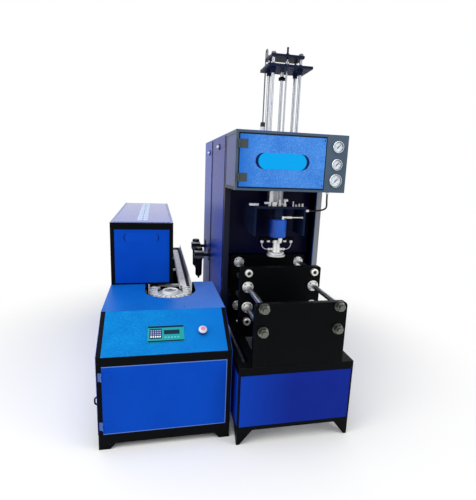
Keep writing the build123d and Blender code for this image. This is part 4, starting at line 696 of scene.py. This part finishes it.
def addDisc(shape, where, radius, depth, segments=24, broken=0.0):
    # round piece standing on the frame's Z = 0, its outer edge broken; returns its top face
    matrix = where @ Matrix.Translation((0, 0, depth / 2000))
    made = bmesh.ops.create_cone(shape, cap_ends=True, segments=segments, radius1=radius / 1000,
                                 radius2=radius / 1000, depth=depth / 1000, matrix=matrix)
    outward = (where.to_3x3() @ Vector((0, 0, 1))).normalized()
    faces = {face for vert in made["verts"] for face in vert.link_faces}
    top = max(faces, key=lambda face: face.calc_center_median().dot(outward))
    if broken:
        rim = breakEdges(shape, top.edges, broken)
        near = {face for bevelled in rim for edge in bevelled.edges for face in edge.link_faces}
        top = max(near, key=lambda face: face.calc_center_median().dot(outward))
    return top


# socket screw: sides of the head, then shares of its radius, and of its height for the key's recess
capScrew = {"sides": 12, "broken": 0.15, "rim": 0.35, "draft": 0.02, "recess": 0.5}


def addCapScrew(shape, where, radius, height):
    top = addDisc(shape, where, radius, height, capScrew["sides"], radius * capScrew["broken"])
    bmesh.ops.inset_region(shape, faces=[top], thickness=radius * capScrew["rim"] / 1000)
    bmesh.ops.inset_region(shape, faces=[top], thickness=radius * capScrew["draft"] / 1000,
                           depth=-height * capScrew["recess"] / 1000)


def addFlangeBolts(name, face, heights, body):
    shape = bmesh.new()
    out = flangeBolts["circle"]
    for x in flangeBolts["barX"]:
        for z in heights:
            for quarter in range(4):
                turn = math.radians(flangeBolts["firstTurn"] + 90 * quarter)
                place = at(x + out * math.cos(turn), face, z + out * math.sin(turn))
                addCapScrew(shape, facing(place, (0, -1, 0)), flangeBolts["head"], flangeBolts["rise"])
    finishPiece(name, shape, body=body)


addFlangeBolts("platenFlangeBolts", flangeBolts["platenFace"], flangeBolts["barZ"], "clamp")
addFlangeBolts("rearFlangeBolts", flangeBolts["rearFace"], flangeBolts["rodZ"], "machine")

# small socket screws on the table and on the head's door: size and places in millimetres
sheetScrews = {
    "head": 4.5, "rise": 2.0, "table": ((-280, 396, 724.6), (-762, 382, 724.6)),
    "door": ((543, 311.5, 1770), (543, 311.5, 1502)),
}


def addSheetScrews(name, places, outward, body, material=inkBlack):
    shape = bmesh.new()
    for place in places:
        addCapScrew(shape, facing(at(*place), outward), sheetScrews["head"], sheetScrews["rise"])
    finishPiece(name, shape, material, body)


addSheetScrews("tableScrews", sheetScrews["table"], (0, 0, 1), "machine")
addSheetScrews("headDoorScrews", sheetScrews["door"], (0, -1, 0), "head_door_leaf")

# plated screws that hold the cover sheets, on the back and on the oven's left side
coverScrews = {
    "back": 1742.0, "backX": (26, 350, 674), "backZ": (518, 940, 1362, 1780), "baseX": (32, 350, 668),
    "baseZ": (134, 424),
    "side": -776.0, "sideEnds": ((102, 116), (102, 545), (372, 706)), "sideY": (940, 984, 1690, 2410),
    "sideZ": (116, 706), "tunnelSide": -772.0, "tunnelY": (930, 1660, 2400), "tunnelZ": (752, 1118),
}


def addCoverScrews(setup):
    behind = [(x, setup["back"], z) for x in setup["backX"] for z in setup["backZ"]]
    behind += [(x, setup["back"], z) for x in setup["baseX"] for z in setup["baseZ"]]
    beside = [(setup["side"], y, z) for y, z in setup["sideEnds"]]
    beside += [(setup["side"], y, z) for y in setup["sideY"] for z in setup["sideZ"]]
    beside += [(setup["tunnelSide"], y, z) for y in setup["tunnelY"] for z in setup["tunnelZ"]]
    addSheetScrews("backCoverScrews", behind, (0, 1, 0), "machine", zincSteel)
    addSheetScrews("sideCoverScrews", beside, (-1, 0, 0), "machine", zincSteel)


addCoverScrews(coverScrews)


def addNumber(shape, words, sizeMm, place):
    curve = bpy.data.curves.new("number", "FONT")
    curve.body = words
    curve.size = sizeMm / 1000
    curve.align_x = "CENTER"
    curve.align_y = "CENTER"
    curve.extrude = dials["ink"] / 2000  # goes both ways from the middle
    written = bpy.data.objects.new("number", curve)
    scene.collection.objects.link(written)
    bpy.context.view_layer.update()
    mesh = bpy.data.meshes.new_from_object(written)
    mesh.transform(Matrix.Translation(place) @ Matrix.Rotation(math.pi / 2, 4, "X"))
    shape.from_mesh(mesh)
    bpy.data.objects.remove(written)
    bpy.data.curves.remove(curve)
    bpy.data.meshes.remove(mesh)


def dialTurn(share):
    # angle on a dial at a share of its scale
    return math.radians(90 + dials["sweep"] / 2 - dials["sweep"] * share)


def makeDials():
    plates, scale = bmesh.new(), bmesh.new()
    ticks, numbers = dials["steps"] * dials["ticksPerStep"], dials["numbers"]
    for height, radius in dials["gauges"]:
        centre = at(dials["x"], dials["face"], height)
        addDisc(plates, facing(centre, (0, -1, 0)), radius - dials["gap"], dials["thick"],
                segments=40)
        ink = centre - Vector((0, dials["thick"] / 1000, 0))
        for i in range(ticks + 1):
            long, wide = dials["shortTick"] if i % dials["ticksPerStep"] else dials["longTick"]
            turned = Matrix.Translation(ink) @ Matrix.Rotation(-dialTurn(i / ticks), 4, "Y")
            addBlock(scale, turned, (radius * dials["tickRing"] - long / 2, 0, 0), (long, dials["ink"], wide))
        for i in range(numbers):
            turn = dialTurn(i / (numbers - 1))
            offset = Vector((math.cos(turn), 0, math.sin(turn))) * radius * dials["numberRing"] / 1000
            addNumber(scale, str(dials["numberStep"] * i), radius * dials["numberSize"], ink + offset)
    finishPiece("gaugeDials", plates, dialEnamel)
    finishPiece("gaugeDialPrint", scale)


makeDials()

# black needles before the pointers' blades, at the same reading; tail and tip are shares of the radius
needles = {
    "bodies": ("pointer_top", "pointer_middle", "pointer_bottom"), "front": 313.4, "thick": 0.5, "tail": 0.36,
    "tip": 0.62, "wide": 3.0, "narrow": 1.4, "reading": 45.0,
}


def makeNeedle(body, height, radius):
    shape = bmesh.new()
    wide, narrow = needles["wide"], needles["narrow"]
    tail, tip = -needles["tail"] * radius, needles["tip"] * radius
    reading = Matrix.Rotation(math.radians(needles["reading"]), 4, "Y")
    turn = Matrix.Translation(at(dials["x"], needles["front"], height)) @ reading
    corners = [shape.verts.new(turn @ Vector((x / 1000, 0, z / 1000)))
               for x, z in ((-wide, tail), (wide, tail), (narrow, tip), (-narrow, tip))]
    face = shape.faces.new(corners)
    made = bmesh.ops.extrude_face_region(shape, geom=[face])
    raised = [vert for vert in made["geom"] if isinstance(vert, bmesh.types.BMVert)]
    bmesh.ops.translate(shape, verts=raised, vec=Vector((0, -needles["thick"] / 1000, 0)))
    bmesh.ops.recalc_face_normals(shape, faces=shape.faces)
    finishPiece(body + "Needle", shape, body=body)


for body, (height, radius) in zip(needles["bodies"], dials["gauges"]):
    makeNeedle(body, height, radius)
print("gauges dressed")

# the console's slope, from its foot to the table
console = {"front": 82.0, "foot": 565.0, "tableY": 353.0, "tableZ": 724.6}
slopeTurn = math.atan2(console["tableZ"] - console["foot"], console["tableY"] - console["front"])
slopeFrame = Matrix.Translation(at(0, console["front"], console["foot"])) @ Matrix.Rotation(slopeTurn, 4, "X")

# operator panel on the slope: each strip's middle and height, shares of the width and height for the key pad,
# and the display's ends from the panel's middle
panel = {
    "x": -399.0, "up": 134.0, "width": 210.0, "height": 114.0, "flange": 4.0,
    "strips": ((105.5, 13.0), (6.5, 9.0)), "stripThick": 0.4, "margin": 4.0, "filmEdge": 0.1,
    "pad": (0.33, 0.6), "padUp": 0.51, "padThick": 0.3,
    "keys": (5, 4), "keysFrom": 0.07, "keysTo": 0.37, "keysUp": 0.26, "keysTall": 0.5, "keyGap": 4.4,
    "keyHeight": 9.6, "keyThick": 1.0, "keyEdge": 0.35,
    "lowKeys": 5, "lowKey": (11.0, 8.0), "lowKeysUp": 30.0,
    "display": (-12.0, 78.0, -6.0, 24.0), "displayGap": 0.6, "displayThick": 0.8, "displaySink": 0.5,
    "displayEdge": 0.2,
}


def makePanel():
    strips, keys, glass = bmesh.new(), bmesh.new(), bmesh.new()
    wide, tall, rise = panel["width"], panel["height"], panel["flange"]
    left, low = panel["x"] - wide / 2, panel["up"] - tall / 2
    for up, height in panel["strips"]:
        addBlock(strips, slopeFrame, (panel["x"], low + up, rise + panel["stripThick"] / 2),
                 (wide - panel["margin"], height, panel["stripThick"]), panel["filmEdge"])
    padMiddle = (left + wide * (panel["keysFrom"] + panel["keysTo"]) / 2, low + tall * panel["padUp"])
    padWide, padTall = panel["pad"]
    addBlock(strips, slopeFrame, (*padMiddle, rise + panel["padThick"] / 2),
             (wide * padWide, tall * padTall, panel["padThick"]), panel["filmEdge"])
    columns, rows = panel["keys"]
    span = wide * (panel["keysTo"] - panel["keysFrom"])
    keyMiddle = rise + panel["keyThick"] / 2
    for column in range(columns):
        for row in range(rows):
            x = left + wide * panel["keysFrom"] + span * (column + 0.5) / columns
            up = low + tall * (panel["keysUp"] + panel["keysTall"] * (row + 0.5) / rows)
            addBlock(keys, slopeFrame, (x, up, keyMiddle),
                     (span / columns - panel["keyGap"], panel["keyHeight"], panel["keyThick"]),
                     panel["keyEdge"])
    x0, x1, s0, s1 = panel["display"]
    for column in range(panel["lowKeys"]):
        x = panel["x"] + x0 + (x1 - x0) * (column + 0.5) / panel["lowKeys"]
        addBlock(keys, slopeFrame, (x, low + panel["lowKeysUp"], keyMiddle),
                 (*panel["lowKey"], panel["keyThick"]), panel["keyEdge"])
    gap = panel["displayGap"]
    addBlock(glass, slopeFrame,
             (panel["x"] + (x0 + x1) / 2, panel["up"] + (s0 + s1) / 2, rise - panel["displaySink"]),
             (x1 - x0 - gap, s1 - s0 - gap, panel["displayThick"]), panel["displayEdge"])
    finishPiece("panelStrips", strips, navyFilm)
    finishPiece("panelKeys", keys, keyPlastic)
    finishPiece("panelDisplay", glass, displayGlass)


makePanel()

# raised pad on the stop button
buttonPad = {"x": -186.0, "up": 136.0, "rise": 34.0, "radius": 13.0, "thick": 1.2, "edge": 0.6}


def makeButtonPad():
    shape = bmesh.new()
    middle = Vector((buttonPad["x"], buttonPad["up"], buttonPad["rise"])) / 1000
    addDisc(shape, slopeFrame @ Matrix.Translation(middle), buttonPad["radius"], buttonPad["thick"],
            segments=32, broken=buttonPad["edge"])
    finishPiece("stopButtonPad", shape, redPlastic, "stop_push")


makeButtonPad()
print("console dressed")

# two columns of pressed louvres along the tunnel's lid, each hood sloping a few degrees
louvres = {
    "x": -552.0, "top": 1187.0, "rows": 13, "front": 1045.0, "back": 2345.0, "offset": 20.5,
    "hood": (37.0, 58.0, 5.0), "slope": 4.0, "edge": 1.6,
}


def makeLouvres():
    shape = bmesh.new()
    slope = Matrix.Rotation(math.radians(louvres["slope"]), 4, "X")
    for i in range(louvres["rows"]):
        y = louvres["front"] + (louvres["back"] - louvres["front"]) * i / (louvres["rows"] - 1)
        for side in (-1, 1):
            hood = Matrix.Translation(at(louvres["x"] + side * louvres["offset"], y, louvres["top"]))
            addBlock(shape, hood @ slope, (0, 0, 0), louvres["hood"], louvres["edge"])
    finishPiece("lidLouvres", shape, ventEnamel)


makeLouvres()

# latches (depth and height of each) and joint strip on the cabinet's left side
sideTrim = {
    "face": -2.0, "latches": ((916.0, 1737.0), (1423.0, 1712.0)), "plate": 15.0, "plateThick": 6.0,
    "plateEdge": 1.2, "stretch": 1.5, "knob": 9.0, "knobLong": 14.0, "knobEdge": 2.5, "low": 500.0,
    "high": 1798.0, "strip": 34.0, "stripThick": 3.0, "stripEdge": 0.8,
}


def makeSideTrim():
    plates, knobs, strip = bmesh.new(), bmesh.new(), bmesh.new()
    for y, z in sideTrim["latches"]:
        outward = facing(at(sideTrim["face"], y, z), (-1, 0, 0))
        longer = Matrix.Diagonal((1.0, sideTrim["stretch"], 1.0, 1.0))
        addDisc(plates, outward @ longer, sideTrim["plate"], sideTrim["plateThick"],
                broken=sideTrim["plateEdge"])
        onPlate = outward @ Matrix.Translation((0, 0, sideTrim["plateThick"] / 1000))
        addDisc(knobs, onPlate, sideTrim["knob"], sideTrim["knobLong"], segments=20,
                broken=sideTrim["knobEdge"])
    middle = (sideTrim["low"] + sideTrim["high"]) / 2
    addBlock(strip, Matrix.Translation(at(sideTrim["face"], 0, 0)),
             (-sideTrim["stripThick"] / 2, machine["panelSeam"], middle),
             (sideTrim["stripThick"], sideTrim["strip"], sideTrim["high"] - sideTrim["low"]),
             sideTrim["stripEdge"])
    finishPiece("latchPlates", plates)
    finishPiece("latchKnobs", knobs, whitePlastic)
    finishPiece("sideJointStrip", strip, navyFilm)


makeSideTrim()

# black union on the tower's air line, ribbed for the grip
airUnion = {
    "x": 255.0, "y": 705.0, "low": 1868.0, "radius": 15.0, "height": 34.0, "edge": 2.5, "ribs": 12,
    "rib": (2.4, 3.0, 22.0), "ribUp": 0.45, "ribEdge": 0.6,
}


def makeAirUnion():
    shape = bmesh.new()
    foot = Matrix.Translation(at(airUnion["x"], airUnion["y"], airUnion["low"]))
    addDisc(shape, foot, airUnion["radius"], airUnion["height"], broken=airUnion["edge"])
    for i in range(airUnion["ribs"]):
        turned = foot @ Matrix.Rotation(2 * math.pi * i / airUnion["ribs"], 4, "Z")
        addBlock(shape, turned, (airUnion["radius"], 0, airUnion["height"] * airUnion["ribUp"]),
                 airUnion["rib"], airUnion["ribEdge"])
    finishPiece("airLineUnion", shape)


makeAirUnion()
print("cabinet dressed")


# floor and light, in metres

studio = {"floor": "#f8f8f7", "radius": 14, "sky": 0.68, "clearFrom": 1.3, "clearTo": 2.6}


def makeFloor(setup):
    # matt and pale near the machine, plain white farther off, where no shadow falls
    shape = bmesh.new()
    bmesh.ops.create_circle(shape, cap_ends=True, segments=64, radius=setup["radius"])
    material, tree = newMaterial("paleFloor")
    place = addNode(tree, "TexCoord")["Object"]
    away = addNode(tree, "VectorMath", {"operation": "LENGTH", 0: place})["Value"]
    far = addNode(tree, "MapRange", {"interpolation_type": "SMOOTHSTEP", "Value": away,
                                     "From Min": setup["clearFrom"], "From Max": setup["clearTo"]})[0]
    seen = addNode(tree, "LightPath")["Is Camera Ray"]
    blend = addNode(tree, "Math", {"operation": "MULTIPLY", 0: far, 1: seen})[0]
    matt = addNode(tree, "BsdfPrincipled", {"Base Color": setup["floor"], "Roughness": 0.8})[0]
    white = addNode(tree, "Emission", {"Color": "#ffffff", "Strength": 1.0})[0]
    mixed = addNode(tree, "MixShader", {0: blend, 1: matt, 2: white})[0]
    addNode(tree, "OutputMaterial", {"Surface": mixed})
    newPiece("studioFloor", shape, material)


def makeSky(setup):
    # white to the camera, in glass and in gloss; a softer level as light
    world = bpy.data.worlds.new("studioSky")
    scene.world = world
    world.use_nodes = True
    tree = world.node_tree
    tree.nodes.clear()
    path = addNode(tree, "LightPath")
    seen = path["Is Camera Ray"]
    for ray in ("Is Transmission Ray", "Is Glossy Ray"):
        seen = addNode(tree, "Math", {"operation": "ADD", "use_clamp": True, 0: seen, 1: path[ray]})[0]
    light = addNode(tree, "Background", {"Color": "#ffffff", "Strength": setup["sky"]})[0]
    white = addNode(tree, "Background", {"Color": "#ffffff", "Strength": 1.0})[0]
    mixed = addNode(tree, "MixShader", {0: seen, 1: light, 2: white})[0]
    addNode(tree, "OutputWorld", {"Surface": mixed})


softBoxes = {
    "overheadSoftBox": {"place": (-0.8, -1.6, 4.4), "aim": (0.0, -0.2, 0.8), "size": 3.2, "power": 70},
    "leftSoftBox": {"place": (-3.6, -2.6, 2.4), "aim": (0.0, 0.0, 0.9), "size": 2.2, "power": 45},
    "rightSoftBox": {"place": (3.2, -3.0, 2.6), "aim": (0.2, -0.4, 1.0), "size": 2.2, "power": 35},
}


def makeLights(boxes):
    for name, box in boxes.items():
        data = bpy.data.lights.new(name, "AREA")
        data.shape = "SQUARE"
        data.size = box["size"]
        data.energy = box["power"]
        lamp = bpy.data.objects.new(name, data)
        lamp.location = box["place"]
        lamp.rotation_euler = (Vector(box["aim"]) - Vector(box["place"])).to_track_quat("-Z", "Y").to_euler()
        scene.collection.objects.link(lamp)


makeFloor(studio)
makeSky(studio)
makeLights(softBoxes)
scene.view_settings.view_transform = "Standard"
print("studio lit")
